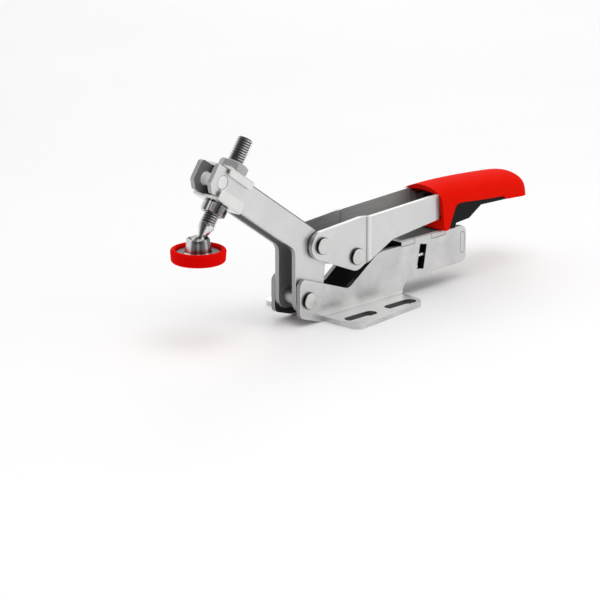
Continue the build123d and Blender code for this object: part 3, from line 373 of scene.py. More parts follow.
def zinc_sheet(
    name, dark, light, edge, rough=(0.30, 0.42), metal=1.0, wear_and_highlight_round=0.35, inner=None, cut=None, flange_highlight=None,
    fold_shading=(), shaded_holes=(), tabs=None, seam_shadows=(), matt=(), fade=None, rim=None,
):
    """Zinc-plated rolled sheet: soft clouds, faint rolling marks, fine pitting and brighter edges, with
    painted light and shade.

    dark and light are the tones of the clouds, edge that of the edges, which are brighter partly with wear
    and partly as a painted highlight, and rough the range of roughness. A sheet that is less than half metal
    reflects less. wear_and_highlight_round is the round of the bright edges in millimetres. inner are the
    tones, front and rear, of painted shade on the faces that look towards the middle of the clamp, which are
    also rougher and less metallic. cut is the height above which a plate has cut faces and their tone,
    flange_highlight the tone of a painted highlight on the flat foot, fold_shading are places x with a width
    and a tone: strips of painted shade and painted highlight across the plate. shaded_holes are boxes whose
    cut faces get painted shade, with the axis that the sheet faces there and how square to it a face still
    counts as the sheet's, and tabs is how far from the middle plane the ends keep the plain light zinc tone.
    seam_shadows are painted shadow lines round the tabs of other plates: the middle (x, z), half the straight
    lengths and the round that is added to them; a seam with a round has a painted highlight in its middle.
    matt are boxes that are dull in a tone, among them a painted highlight and a painted shadow, fade is where
    along the clamp a plate begins to go dull under painted shade, where it is, and its tone, and rim is the
    direction in which a painted dark line of shade lies, its distance from the origin and its tone.
    """
    f = Finish(name, light, metal, rough[1])
    shine = metal
    if metal < 0.5:  # a dull sheet, dark as painted shade, which reflects little
        f.shader.inputs["IOR"].default_value = DULL_IOR
    clouds = f.noise(f.mapped((60.0, 60.0, 60.0)), 1.0, 4.0, 0.6)
    speckle = f.noise(f.mapped((900.0, 900.0, 900.0)), 1.0, 2.0)
    rolled = f.noise(f.mapped((90.0, 700.0, 1500.0)), 1.0, 3.0)
    tone = f.mixed(f.between(clouds, 0.0, 1.0), dark, light)
    tone = f.mixed(f.between(speckle, 0.0, 0.12, 0.45, 0.75), tone, edge)
    rounded, nearness = f.rounded_edges(wear_and_highlight_round * MM)
    # strips of painted shade and painted highlight across the plate
    for middle, width, pressed in fold_shading:
        tone = f.mixed(f.band(f.along("Object", "X"), middle, width), tone, pressed)
    # painted highlight on the up-facing flat top of the foot
    if flange_highlight is not None:
        flat = f.maths("GREATER_THAN", f.along("Normal", "Z"), 0.9)
        low = f.maths("LESS_THAN", f.along("Object", "Z"), FOOT_TOP)
        tone = f.mixed(f.maths("MULTIPLY", flat, low), tone, flange_highlight)
    if cut is not None:
        tone = f.mixed(f.cut_faces(cut[0]), tone, cut[1])
    # the tab ends keep the plain light zinc tone, out of the sheet's painted shade
    if tabs is not None:
        ends = f.maths("GREATER_THAN", f.maths("ABSOLUTE", f.along("Object", "Y")), tabs)
        tone = f.mixed(ends, tone, SHEET_ZINC[1])
    # brighter near edges: partly wear, partly a painted highlight
    tone = f.mixed(f.maths("MULTIPLY", nearness, 0.75), tone, edge)
    # painted shade on the cut faces inside the window and the foot's slots
    for low, high, faced, square in shaded_holes:
        inward = f.maths("LESS_THAN", f.maths("ABSOLUTE", f.along("Normal", faced)), square)
        tone = f.mixed(f.maths("MULTIPLY", f.inside(low, high), inward), tone, HOLE_AND_GAP_SHADE)
    # painted shadow lines in the gaps round tabs, with a painted highlight inside the round ones
    for middle, half, round_r in seam_shadows:
        off = f.maths("SUBTRACT", f.capsule(middle, half), round_r)
        if round_r > 0.0:
            tone = f.mixed(f.maths("LESS_THAN", off, -0.4 * MM), tone, edge)
        tone = f.mixed(f.band(off, 0.1 * MM, 0.55 * MM), tone, HOLE_AND_GAP_SHADE)
    finish = f.between(f.maths("ADD", clouds, f.maths("MULTIPLY", rolled, 0.5)), *rough, 0.5, 1.0)
    # painted shade on the faces that look towards the middle of the clamp, going from the front tone to the
    # rear tone
    if inner is not None:
        hidden = f.facing_middle()
        brushed = f.noise(f.mapped((60.0, 60.0, 900.0)), 1.0, 3.0)
        rearwards = f.between(f.along("Object", "X"), 0.0, 0.9, -15 * MM, 15 * MM)
        shade = f.maths("ADD", rearwards, f.between(brushed, -0.2, 0.2, 0.3, 0.7))
        inner_shade = f.mixed(shade, *inner)
        # the same strips of painted shade and highlight over the painted shade inside
        for middle, width, pressed in fold_shading:
            inner_shade = f.mixed(f.band(f.along("Object", "X"), middle, width), inner_shade, pressed, "MULTIPLY")
        tone = f.mixed(hidden, tone, inner_shade)
        finish = f.maths("ADD", finish, f.maths("MULTIPLY", hidden, HIDDEN_ROUGHER))
        shine = f.maths("SUBTRACT", metal, f.maths("MULTIPLY", hidden, HIDDEN_DULLER * metal))
    # dull boxes, among them a painted highlight and a painted shadow; painted shade where a plate runs into
    # the grip; a painted dark line of shade along an edge
    places = [(f.inside(low, high), dull) for low, high, dull in matt]
    if fade is not None:
        places.append((f.between(f.along("Object", "X"), 0.0, 1.0, *fade[:2]), fade[2]))
    if rim is not None:
        height = f.vector("DOT_PRODUCT", f.place, rim[0])
        places.append((f.maths("GREATER_THAN", height, rim[1]), rim[2]))
    for place, dull in places:
        tone = f.mixed(place, tone, dull)
        shine = f.maths("MULTIPLY", f.maths("SUBTRACT", 1.0, place), shine)
    if shine is not metal:
        f.join(shine, f.shader.inputs["Metallic"])
    f.colour(tone)
    f.roughness(finish)
    grain = f.bump(rolled, 0.008 * MM, 0.3, after=rounded)
    f.normal(f.bump(speckle, 0.006 * MM, 0.3, after=grain))
    return f.material


def lock_steel(name, dark, bright, reach):
    """Dark steel, darker as painted shade inside the housing, with its ears painted light beyond that
    distance from the middle plane.
    """
    f = Finish(name, dark, 1.0, 0.35)
    # painted light on the ears where they show in the window; the rest stays dark as painted shade
    out = f.between(f.maths("ABSOLUTE", f.along("Object", "Y")), 0.0, 1.0, reach, reach + 0.3 * MM)
    speckle = f.noise(f.mapped((900.0, 900.0, 900.0)), 1.0, 2.0)
    f.colour(f.mixed(out, f.mixed(f.between(speckle, 0.0, 1.0), dark, tuple(2 * c for c in dark)), bright))
    rounded, _ = f.rounded_edges(0.2 * MM)
    f.normal(rounded)
    return f.material


def turned_steel(
    name, dark, light, rough, lines, centre, axis_turn=(0.0, 0.0, 0.0), metal=1.0, grooves=None, side=None,
    reflection_stripes=None, reflection_bands=None, disc=None,
):
    """Steel turned on a lathe: fine rings round the axis, with a slightly uneven polish.

    grooves is the axis of a thread, whose roots are darkened as painted shade. side is the tone of painted
    shade on a rivet head's upright side. reflection_stripes are the axis, the number and the place of uneven
    dark lines of painted reflection with their tone, and reflection_bands the axis, the place and the tone of
    two even ones. disc is a height under which the piece is matt, and its tone there.
    """
    f = Finish(name, light, metal, rough)
    clouds = f.noise(f.mapped((120.0, 120.0, 120.0)), 1.0, 3.0)
    from_centre = f.vector("SUBTRACT", f.place, centre)
    turned_place = f.add("ShaderNodeMapping")
    turned_place.inputs["Rotation"].default_value = axis_turn
    f.join(from_centre, turned_place.inputs["Vector"])
    rings = f.add("ShaderNodeTexWave", wave_type="RINGS", rings_direction="Z")
    rings.inputs["Scale"].default_value = lines
    rings.inputs["Distortion"].default_value = 0.6
    rings.inputs["Detail"].default_value = 2.0
    f.join(turned_place.outputs["Vector"], rings.inputs["Vector"])
    tone = f.mixed(f.between(clouds, 0.0, 1.0), dark, light)
    if grooves is not None:
        # painted shade in the thread's roots
        distance = f.vector("LENGTH", f.across(centre, grooves))
        depth = f.between(distance, 1.0, 0.0, THREAD_ROOT, THREAD_CREST)
        height = f.vector("DOT_PRODUCT", from_centre, grooves)
        threaded = f.maths("GREATER_THAN", height, THREAD_END + 0.6 * MM)
        tone = f.mixed(f.maths("MULTIPLY", depth, threaded), tone, ROOT_SHADE)
    # painted shade on a rivet head's upright side
    if side is not None:
        upright = f.between(f.maths("ABSOLUTE", f.along("Normal", "Y")), 1.0, 0.0, 0.55, 0.97)
        tone = f.mixed(upright, tone, side)
    # painted reflections: uneven dark lines, or two even dark lines, along the piece
    if reflection_stripes is not None:
        axis, count, shift, shade = reflection_stripes
        tone = f.mixed(f.streaks(centre, axis, count, shift), shade, tone)
    if reflection_bands is not None:
        axis, shift, shade = reflection_bands
        tone = f.mixed(f.two_reflection_bands(centre, axis, shift), shade, tone)
    finish = f.between(clouds, rough * 0.8, rough * 1.3)
    if disc is not None:
        low = f.maths("LESS_THAN", f.along("Object", "Z"), disc[0])
        tone = f.mixed(low, tone, disc[1])
        finish = f.maths("ADD", finish, f.maths("MULTIPLY", low, 0.4))
    f.colour(tone)
    f.roughness(finish)
    rounded, _ = f.rounded_edges(0.25 * MM)
    f.normal(f.bump(rings.outputs["Fac"], 0.010 * MM, 0.4, after=rounded))
    return f.material


def moulded_red(name, colour, shade, rough, grain):
    """Moulded red plastic: an even colour with a fine spark-eroded grain."""
    f = Finish(name, colour, 0.0, rough)
    leather = f.noise(f.mapped((grain, grain, grain)), 1.0, 3.0)
    clouds = f.noise(f.mapped((45.0, 45.0, 45.0)), 1.0, 2.0)
    f.colour(f.mixed(f.between(clouds, 0.0, 1.0), shade, colour))
    f.roughness(f.between(leather, rough * 0.85, rough * 1.2))
    rounded, _ = f.rounded_edges(0.3 * MM)
    f.normal(f.bump(leather, 0.02 * MM, 0.35, after=rounded))
    f.shader.inputs["IOR"].default_value = 1.05
    return f.material


def moulded_black(name):
    """Near-black moulded plastic with the same fine grain and a few paler scuffs."""
    f = Finish(name, grey(0.005), 0.0, 0.42)
    f.shader.inputs["IOR"].default_value = DULL_IOR
    leather = f.noise(f.mapped((1500.0, 1500.0, 1500.0)), 1.0, 3.0)
    scuffs = f.noise(f.mapped((180.0, 60.0, 240.0)), 1.0, 5.0, 1.0)
    f.colour(f.mixed(f.between(scuffs, 0.0, 1.0, 0.55, 0.8), grey(0.004), grey(0.012)))
    f.roughness(f.between(leather, 0.30, 0.46))
    rounded, _ = f.rounded_edges(0.4 * MM)
    f.normal(f.bump(leather, 0.02 * MM, 0.4, after=rounded))
    return f.material


def floor_finish():
    """Pale matt floor that keeps the soft shadow under the clamp."""
    f = Finish("pale_floor", grey(0.93), 0.0, 0.7)
    mottle = f.noise(f.mapped((6.0, 6.0, 6.0)), 1.0, 2.0)
    f.colour(f.mixed(f.between(mottle, 0.0, 1.0), grey(0.975), grey(0.99)))
    f.shader.inputs["Specular IOR Level"].default_value = 0.1
    return f.material


# ================================================================== surfaces
def sheet_mesh(name, points, round_u=False, round_v=False, cap_u=False):
    """A grid of points (rows, columns, xyz) as a mesh.

    round_u joins the last row to the first and round_v the last column to the first. cap_u closes the
    first and last rows with a fan round their middles.
    """
    rows, columns = points.shape[:2]
    index = np.arange(rows * columns).reshape(rows, columns)
    below = np.roll(index, -1, axis=0) if round_u else index[1:]
    here = index if round_u else index[:-1]
    if round_v:
        quads = np.stack([here, np.roll(here, -1, 1), np.roll(below, -1, 1), below], axis=-1)
    else:
        quads = np.stack([here[:, :-1], here[:, 1:], below[:, 1:], below[:, :-1]], axis=-1)
    vertices = points.reshape(-1, 3)
    faces = quads.reshape(-1, 4).tolist()
    if cap_u:
        middles = np.stack([points[0].mean(axis=0), points[-1].mean(axis=0)])
        first, last = len(vertices), len(vertices) + 1
        vertices = np.concatenate([vertices, middles])
        ring = index[0]
        faces += [[first, b, a] for a, b in zip(ring.tolist(), np.roll(ring, -1).tolist())]
        ring = index[-1]
        faces += [[last, a, b] for a, b in zip(ring.tolist(), np.roll(ring, -1).tolist())]
    mesh = bpy.data.meshes.new(name)
    mesh.from_pydata(vertices.tolist(), [], faces)
    mesh.validate()
    mesh.update()
    return mesh


def piece(name, mesh, node, material, crease=35.0):
    """Shows the mesh in place of a CAD node, riding on that node's body, with faces turned outwards."""
    made = bpy.data.objects.new(name, mesh)
    bpy.context.scene.collection.objects.link(made)
    face_outwards(made)
    mesh.shade_smooth()
    mesh.set_sharp_from_angle(angle=np.radians(crease))
    mesh.materials.append(material)
    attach(made, BODY_OF[node])
    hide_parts(node)
    return made


def face_outwards(made):
    """Recalculates the faces' directions, after points that coincide are merged."""
    work = bmesh.new()
    work.from_mesh(made.data)
    bmesh.ops.remove_doubles(work, verts=work.verts, dist=1e-7)
    bmesh.ops.recalc_face_normals(work, faces=work.faces)
    work.to_mesh(made.data)
    work.free()


def turned(profile, origin, axis, side, segments=64):
    """A profile (distance along the axis, radius) turned round the axis: origin + s axis + r (cos, sin)."""
    along, radius = np.asarray(profile, float).T
    other = np.cross(axis, side)
    angle = np.linspace(0.0, TURN, segments, endpoint=False)
    spoke = np.cos(angle)[:, None] * side + np.sin(angle)[:, None] * other
    return origin + along[:, None, None] * axis + radius[:, None, None] * spoke[None]


# ------------------------------------------------------------------ rivets
def riveted_pin(name, node, centre, material):
    """A rivet across the clamp with two slightly domed heads that carry the ring left by the setting tool.

    Half the profile is the shank, the head's face, a quarter round and a dome with a shallow round groove;
    the other half is its mirror image.
    """
    low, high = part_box(node)
    half = (high[1] - low[1]) / 2
    tall, edge, crown = 1.7 * MM, 0.6 * MM, 0.15 * MM
    ring_r, ring_width, ring_depth = 2.6 * MM, 0.35 * MM, 0.08 * MM
    half_profile = [(0.0, RIVET_R), (half - tall, RIVET_R), (half - tall, RIVET_HEAD_R)]
    half_profile += [
        (half - crown - edge + edge * np.sin(a), RIVET_HEAD_R - edge + edge * np.cos(a))
        for a in np.radians(np.linspace(0, 90, 7))
    ]
    dome = np.linspace(RIVET_HEAD_R - edge, 0.05 * MM, 14)[1:]
    groove = ring_depth * np.exp(-(((dome - ring_r) / ring_width) ** 2))
    rise = crown * (1 - (dome / (RIVET_HEAD_R - edge)) ** 2)
    half_profile += list(zip(half - crown + rise - groove, dome))
    profile = [(-s, r) for s, r in half_profile[::-1]] + half_profile[1:]
    points = turned(profile, np.array([centre[0], 0.0, centre[1]]), ACROSS, np.array([1.0, 0.0, 0.0]))
    return piece(name, sheet_mesh(name, points, round_v=True, cap_u=True), node, material)


# ------------------------------------------------------------------ lock
def shade_wings(material):
    """Side wings that fold back from the rear lock plate: dark boxes beside the spring, leaning with the
    plate, put in as painted shade where the window would show the floor.
    """
    rise = np.array([np.sin(LOCK_LEAN), 0.0, np.cos(LOCK_LEAN)])
    back = np.array([np.cos(LOCK_LEAN), 0.0, -np.sin(LOCK_LEAN)])
    for side, name in ((-1.0, "shade_wing_left"), (1.0, "shade_wing_right")):
        flat = WING_PLAN[:, :1] * back + side * WING_PLAN[:, 1:] * ACROSS
        rows = LOCK_MIDDLE + flat[None] + WING_HEIGHTS[:, None, None] * rise
        mesh = sheet_mesh(name, rows, round_v=True, cap_u=True)
        made = bpy.data.objects.new(name, mesh)
        bpy.context.scene.collection.objects.link(made)
        face_outwards(made)
        mesh.materials.append(material)
        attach(made, BODY_OF["lock_plate_rear"])


# ------------------------------------------------------------------ spindle
def threaded_spindle(material):
    """The spindle: radius(s, angle) is a thread, cut down by the tip's chamfer, cone, neck and ball.

    The thread's depth is a triangle wave of (s / pitch - angle / turn), flattened at crest and root.
    """
    radius, pitch, depth = 4.0 * MM, 1.25 * MM, 0.72 * MM
    top, thread_end, cone_end = 26.0 * MM, THREAD_END, THREAD_END - 5.6 * MM
    neck, ball, tip = 1.75 * MM, 3.98 * MM, 0.8 * MM
    along = np.concatenate(
        [
            np.linspace(top, thread_end, 520),
            np.linspace(thread_end, cone_end, 24)[1:],
            np.linspace(cone_end, -BALL_BELOW - ball, 60)[1:-1],
        ]
    )
    angle = np.linspace(0.0, TURN, 56, endpoint=False)
    s, a = np.meshgrid(along, angle, indexing="ij")
    wave = np.abs(((s / pitch - a / TURN) % 1.0) * 2 - 1)
    groove = depth * np.clip(1.25 * wave - 0.10, 0.0, 1.0)
    fade = np.clip((s - thread_end) / (1.2 * pitch), 0.0, 1.0)
    thread = radius - groove * fade
    chamfer = radius - np.clip(s - (top - tip), 0.0, None)
    cone_share = np.clip((thread_end - s) / (thread_end - cone_end), 0.0, 1.0)
    cone = radius + (neck - radius) * cone_share
    r = np.minimum(np.minimum(thread, chamfer), cone)
    round_ball = np.sqrt(np.clip(ball**2 - (s + BALL_BELOW) ** 2, 0.0, None))
    r = np.where(s < cone_end, np.maximum(np.where(s > -BALL_BELOW, neck, 0.0), round_ball), r)
    other = np.cross(BAR_UP, ACROSS)
    spoke = np.cos(a)[..., None] * ACROSS + np.sin(a)[..., None] * other
    points = SPINDLE_MIDDLE + s[..., None] * BAR_UP + r[..., None] * spoke
    mesh = sheet_mesh("threaded_spindle", points, round_v=True, cap_u=True)
    return piece("threaded_spindle", mesh, "spindle", material, crease=60.0)


def hexagon_nut(name, node, bottom, height, flats, material, corner_at=0.0):
    """A hexagon nut: radius(angle) is a hexagon's, held inside a 30 degree chamfer cone at both faces.

    corner_at is the angle, from the axis across the clamp, at which one of its corners lies.
    """
    bore = 4.03 * MM
    face_r = 0.475 * flats
    corner = flats / 2 / np.cos(np.radians(30))
    angle = np.linspace(0.0, TURN, 144, endpoint=False)
    folded = (angle - corner_at) % (TURN / 6) - TURN / 12
    hexagon = flats / 2 / np.cos(folded)
    drop = np.linspace(0.0, 1.0, 9) * (corner - face_r) * np.tan(np.radians(30))
    cone = face_r + drop / np.tan(np.radians(30))
    lower = [(bottom + d, np.minimum(hexagon, c)) for d, c in zip(drop, cone)]
    upper = [(bottom + height - d, np.minimum(hexagon, c)) for d, c in zip(drop[::-1], cone[::-1])]
    inner = np.full_like(angle, bore)
    rows = [(bottom + height, inner), (bottom, inner), *lower, *upper]
    along = np.array([row[0] for row in rows])
    radius = np.array([row[1] for row in rows])
    other = np.cross(BAR_UP, ACROSS)
    spoke = np.cos(angle)[:, None] * ACROSS + np.sin(angle)[:, None] * other
    points = SPINDLE_MIDDLE + along[:, None, None] * BAR_UP + radius[..., None] * spoke
    mesh = sheet_mesh(name, points, round_u=True, round_v=True)
    return piece(name, mesh, node, material, crease=25.0)


# ------------------------------------------------------------------ pad
def pad_pieces(collar_finish, cap_finish):
    """The pad's turned socket and its soft cap, both profiles turned round the upright through the ball."""
    bottom = 44.0 * MM
    origin = np.array([BALL_CENTRE[0], 0.0, 0.0])
    up, side = np.array([0.0, 0.0, 1.0]), np.array([1.0, 0.0, 0.0])
    cap_r, cap_h, wall = 13.4 * MM, 6.5 * MM, 2.6 * MM
    round_r, taper, flat_in = 1.4 * MM, 0.25 * MM, 0.6 * MM
    lip = wall / 2
    cap = [(bottom, HUB), (bottom, cap_r - round_r - flat_in)]
    cap += [
        (bottom + round_r * (1 - np.cos(t)), cap_r - round_r - taper + round_r * np.sin(t))
        for t in np.radians(np.linspace(0, 90, 9))
    ]
    cap += [(bottom + cap_h - lip, cap_r)]
    cap += [
        (bottom + cap_h - lip + lip * np.sin(t), cap_r - lip + lip * np.cos(t))
        for t in np.radians(np.linspace(10, 180, 14))
    ]
    disc = bottom + 2.5 * MM
    cap += [(disc, cap_r - wall), (disc, HUB)]
    points = turned(cap, origin, up, side, 96)
    mesh = sheet_mesh("pad_cap_soft", points, round_v=True, cap_u=True)
    piece("pad_cap_soft", mesh, "pad_cap", cap_finish)

    ball_z = BALL_CENTRE[2]
    disc_r, disc_top = 10.75 * MM, disc + 2.0 * MM
    foot_r, foot_in, foot_rise = 7.6 * MM, 1.2 * MM, 0.9 * MM
    neck_top, lip_r, lip_out, lip_rise = 54.9 * MM, 5.0 * MM, 0.55 * MM, 0.7 * MM
    hollow_r = 4.05 * MM
    collar = [(disc, HUB), (disc, disc_r), (disc_top - 0.2 * MM, disc_r), (disc_top, disc_r - 0.25 * MM)]
    collar += [(disc_top, foot_r)]
    collar += [
        (disc_top + foot_rise * (1 - np.cos(t)), foot_r - foot_in * np.sin(t))
        for t in np.radians(np.linspace(0, 90, 7))[1:]
    ]
    collar += [(53.4 * MM, 5.75 * MM), (neck_top, 5.6 * MM)]
    collar += [
        (neck_top + lip_rise * np.sin(t), lip_r + lip_out * np.cos(t))
        for t in np.radians(np.linspace(15, 150, 8))
    ]
    collar += [(ball_z + 1.2 * MM, 3.82 * MM)]
    hollow = np.radians(np.linspace(17.0, -88.0, 16))
    collar += [(ball_z + hollow_r * np.sin(t), hollow_r * np.cos(t)) for t in hollow]
    points = turned(collar, origin, up, side, 96)
    mesh = sheet_mesh("pad_collar", points, round_v=True, cap_u=True)
    piece("pad_collar", mesh, "pad_socket", collar_finish)


# ------------------------------------------------------------------ grip
def smooth_line(points, count):
    """A smooth line through the points (Catmull-Rom, by chord length), as count samples."""
    p = np.asarray(points, float)
    p = np.concatenate([2 * p[:1] - p[1:2], p, 2 * p[-1:] - p[-2:-1]])
    knots = np.concatenate([[0.0], np.cumsum(np.sqrt(np.linalg.norm(np.diff(p, axis=0), axis=1)))])
    t = np.linspace(knots[1], knots[-2], count)
    k = np.clip(np.searchsorted(knots, t, side="right") - 1, 1, len(p) - 3)
    t0, t1, t2, t3 = (knots[k + j][:, None] for j in (-1, 0, 1, 2))
    p0, p1, p2, p3 = (p[k + j] for j in (-1, 0, 1, 2))
    t = t[:, None]
    a1 = (t1 - t) / (t1 - t0) * p0 + (t - t0) / (t1 - t0) * p1
    a2 = (t2 - t) / (t2 - t1) * p1 + (t - t1) / (t2 - t1) * p2
    a3 = (t3 - t) / (t3 - t2) * p2 + (t - t2) / (t3 - t2) * p3
    b1 = (t2 - t) / (t2 - t0) * a1 + (t - t0) / (t2 - t0) * a2
    b2 = (t3 - t) / (t3 - t1) * a2 + (t - t1) / (t3 - t1) * a3
    return (t2 - t) / (t2 - t1) * b1 + (t - t1) / (t2 - t1) * b2


def by_length(line, count):
    """The line's points spaced evenly along it."""
    run = np.concatenate([[0.0], np.cumsum(np.linalg.norm(np.diff(line, axis=0), axis=1))])
    even = np.linspace(0.0, run[-1], count)
    return np.stack([np.interp(even, run, line[:, i]) for i in range(2)], axis=1)


def fallen(radius, y, half_width):
    """How far a round of that radius has fallen at y, near a side at half_width."""
    into = np.maximum(np.abs(y) - half_width + radius, 0.0)
    return radius - np.sqrt(np.maximum(radius**2 - into**2, 0.0))


def front_rim(z):
    """x of the leaning front rim at a height."""
    share = (GRIP_FRONT_TOP[1] - z) / (GRIP_FRONT_TOP[1] - GRIP_TIP[1])
    return GRIP_FRONT_TOP[0] + (GRIP_TIP[0] - GRIP_FRONT_TOP[0]) * share


def tail_edge(x):
    """Height of the tail's lower edge, a straight line behind the insert."""
    return TAIL_FRONT[1] - (x - TAIL_FRONT[0]) * TAIL_SLOPE


def grip_skin(half_width, crown, wall, dome, edge, plan):
    """One skin of the grip. Row s follows the ridge from the front rim over the tail.

    Column y = half_width sin(v): x(s, y) = x(s) - (wall + fallen(plan, y)) share(s), where share grows
    evenly towards the tail, and z(s, y) = z(s) - drop(y) with drop = crown + dome - sqrt(dome^2 - y^2)
    + fallen(edge, y). Below the shoulder the heights are pressed together instead, so that they end on
    the tail's lower edge. Beyond the outermost columns the flanks run straight down to the skirt's edge.
    """
    ridge = by_length(smooth_line(GRIP_RIDGE, 800) * MM, GRIP_ROWS)
    x, z = ridge[:, :1], ridge[:, 1:]
    y = half_width * np.sin(np.linspace(-np.pi / 2, np.pi / 2, 61))[None, :]
    share = (x - x[0]) / (x[-1] - x[0])
    drop = crown + dome - np.sqrt(dome**2 - y**2) + fallen(edge, y, half_width)
    top_x = x - (wall + fallen(plan, y, half_width)) * share
    end, low = z[-1], tail_edge(top_x[-1:])
    pressed = low + (z - end) * (GRIP_SHOULDER_Z - drop - low) / (GRIP_SHOULDER_Z - end)
    top_z = np.where(z > GRIP_SHOULDER_Z, z - drop, pressed)
    top_x += (front_rim(top_z[:1]) - x[0]) * (1 - share) ** 3
    top_y = np.repeat(y, len(ridge), axis=0)
    top = np.stack([top_x, top_y, top_z], axis=-1)
    skirt = by_length(smooth_line(GRIP_SKIRT, 800) * MM, GRIP_ROWS)
    behind = np.clip((skirt[:, 0] - TAIL_FRONT[0]) / TAIL_LENGTH, 0.0, 1.0)
    skirt[:, 0] += (top_x[-1, 0] - skirt[-1, 0]) * behind
    skirt[:, 1] = np.where(behind > 0.0, tail_edge(skirt[:, 0]), skirt[:, 1])
    down = np.linspace(0.0, 1.0, 15)[1:]
    flank = top[:, :1, 0::2] * (1 - down[None, :, None]) + skirt[:, None, :] * down[None, :, None]
    side = np.full(flank.shape[:2], half_width)
    near = np.stack([flank[..., 0], -side, flank[..., 1]], axis=-1)[:, ::-1]
    far = np.stack([flank[..., 0], side, flank[..., 1]], axis=-1)
    return np.concatenate([near, top, far], axis=1)


def red_grip(material):
    """The grip's shell: an outer and an inner skin joined along their open edges, and the front web."""
    inside = GRIP_HALF_WIDTH - GRIP_WALL
    outer = grip_skin(GRIP_HALF_WIDTH, crown=0.0, wall=0.0, dome=22.0 * MM, edge=2.5 * MM, plan=7.5 * MM)
    inner = grip_skin(inside, crown=GRIP_CROWN, wall=GRIP_WALL, dome=40.0 * MM, edge=1.0 * MM, plan=5.4 * MM)
    points = np.concatenate([outer, inner[:, ::-1]], axis=1)
    mesh = sheet_mesh("grip_red", points, round_v=True)
    closed = rim_closed(mesh, points.shape, outer.shape[1])
    shell = piece("grip_red", closed, "grip_shell", material, 50.0)
    low, high, rear = GRIP_TIP[1], GRIP_WEB_TOP_Z, 59.5 * MM
    section = [(front_rim(low), low), (rear, low), (rear, high), (front_rim(high), high)]
    across = (inside + 0.2 * MM) * np.array([-1.0, 1.0])
    rows = np.array([[(x, y, z) for x, z in section] for y in across])
    web = sheet_mesh("grip_web", rows, round_v=True, cap_u=True)
    piece("grip_web", web, "grip_shell", material)
    rim = shell.modifiers.new("rim", "BEVEL")
    rim.width = 0.4 * MM
    rim.segments = 3
    rim.limit_method = "ANGLE"
    rim.angle_limit = np.radians(50)


def rim_closed(mesh, shape, columns):
    """Adds the quads between outer and inner skin in the first and last rows."""
    work = bmesh.new()
    work.from_mesh(mesh)
    work.verts.ensure_lookup_table()
    for row in (0, shape[0] - 1):
        start = row * shape[1]
        for v in range(columns - 1):
            corners = (v, v + 1, 2 * columns - 2 - v, 2 * columns - 1 - v)
            work.faces.new([work.verts[start + c] for c in corners])
    work.to_mesh(mesh)
    work.free()
    return mesh


# ================================================================== making it
BODY_OF = {node: body for body, nodes in frame["record"]["behaviour"]["bodies"].items() for node in nodes}

make_camera()
make_light()

floor_mesh = bpy.data.meshes.new("floor")
floor_mesh.from_pydata([(-6, -6, 0), (6, -6, 0), (6, 6, 0), (-6, 6, 0)], [], [(0, 1, 2, 3)])
floor_mesh.materials.append(floor_finish())
floor = bpy.data.objects.new("floor", floor_mesh)
bpy.context.scene.collection.objects.link(floor)

LAY_ALONG_Y = (np.pi / 2, 0.0, 0.0)
LAY_ALONG_SPINDLE = (0.0, -BAR_RISE, 0.0)

# the cloud tones and the edge tone of the sheets; the edge tone is partly wear and partly a painted highlight
SHEET_ZINC = (grey(0.63), grey(0.70, 0.695), grey(0.93, 0.92))
# near black: painted shade for faces and parts deep inside the clamp
SHADE_BLACK = grey(0.03)
# fold_shading: the place x, the width and the tone; dark strips are painted shade and light ones painted
# highlight
# painted shade in the crease and a painted highlight on the bend where the handle plates step out
BEND_SHADE_AND_HIGHLIGHT = ((2.1 * MM, 1.2 * MM, grey(0.25)), (3.9 * MM, 2.2 * MM, grey(0.80, 0.79)))
# painted light on the cover's front end
COVER_FRONT_LIGHT = ((28.0 * MM, 9.0 * MM, grey(0.60, 0.59)),)
# dull boxes: the low and the high corner, with y counted from the middle plane, and the tone
# painted highlight along the far plate's bend into the grip
NECK_HIGHLIGHT = ((53.1 * MM, 8.6 * MM, 34.0 * MM), (54.0 * MM, 9.2 * MM, 52.0 * MM), grey(0.70, 0.695))
# painted shadow in the opening in front of the cover
COVER_LIP_SHADOW = ((27.6 * MM, -1.0 * MM, 22.0 * MM), (27.96 * MM, 12.0 * MM, 30.0 * MM), grey(0.01))
WALL_TOP = ((27.0 * MM, 7.8 * MM, 28.85 * MM), (62.0 * MM, 10.2 * MM, 29.2 * MM), grey(0.72, 0.715))
# seam_shadows: painted shadow lines round tabs: the middle (x, z), half the straight lengths and the added
# round
TAB_SEAM_SHADOWS = (
    ((73.9 * MM, 20.0 * MM), (0.0, 4.05 * MM), 1.4 * MM),
    ((32.85 * MM, 27.8 * MM), (4.95 * MM, 1.2 * MM), 0.0),
    ((55.65 * MM, 27.8 * MM), (5.15 * MM, 1.2 * MM), 0.0),
)
# shaded_holes: a box whose cut faces get painted shade, the axis that the sheet faces and the share of it
# that is still the sheet's own face
WINDOW = ((38.0 * MM, 7.0 * MM, 11.0 * MM), (49.0 * MM, 10.5 * MM, 26.0 * MM), "Y", 0.8)
FOOT_SLOTS = ((-25.5 * MM, 18.0 * MM, -1.0 * MM), (25.5 * MM, 26.0 * MM, 2.5 * MM), "Z", 0.95)
MIDDLE = (0.0, 0.0, 0.0)
# base: painted shade on its inner faces, in its openings and round the tabs, and a painted highlight on its
# foot
base = zinc_sheet(
    "zinc_base", grey(0.54), grey(0.72, 0.715), SHEET_ZINC[2], inner=(SHADE_BLACK, SHADE_BLACK),
    cut=(3.0 * MM, grey(0.30)), flange_highlight=grey(0.92, 0.91), shaded_holes=(WINDOW, FOOT_SLOTS), seam_shadows=TAB_SEAM_SHADOWS,
    matt=(WALL_TOP,),
)
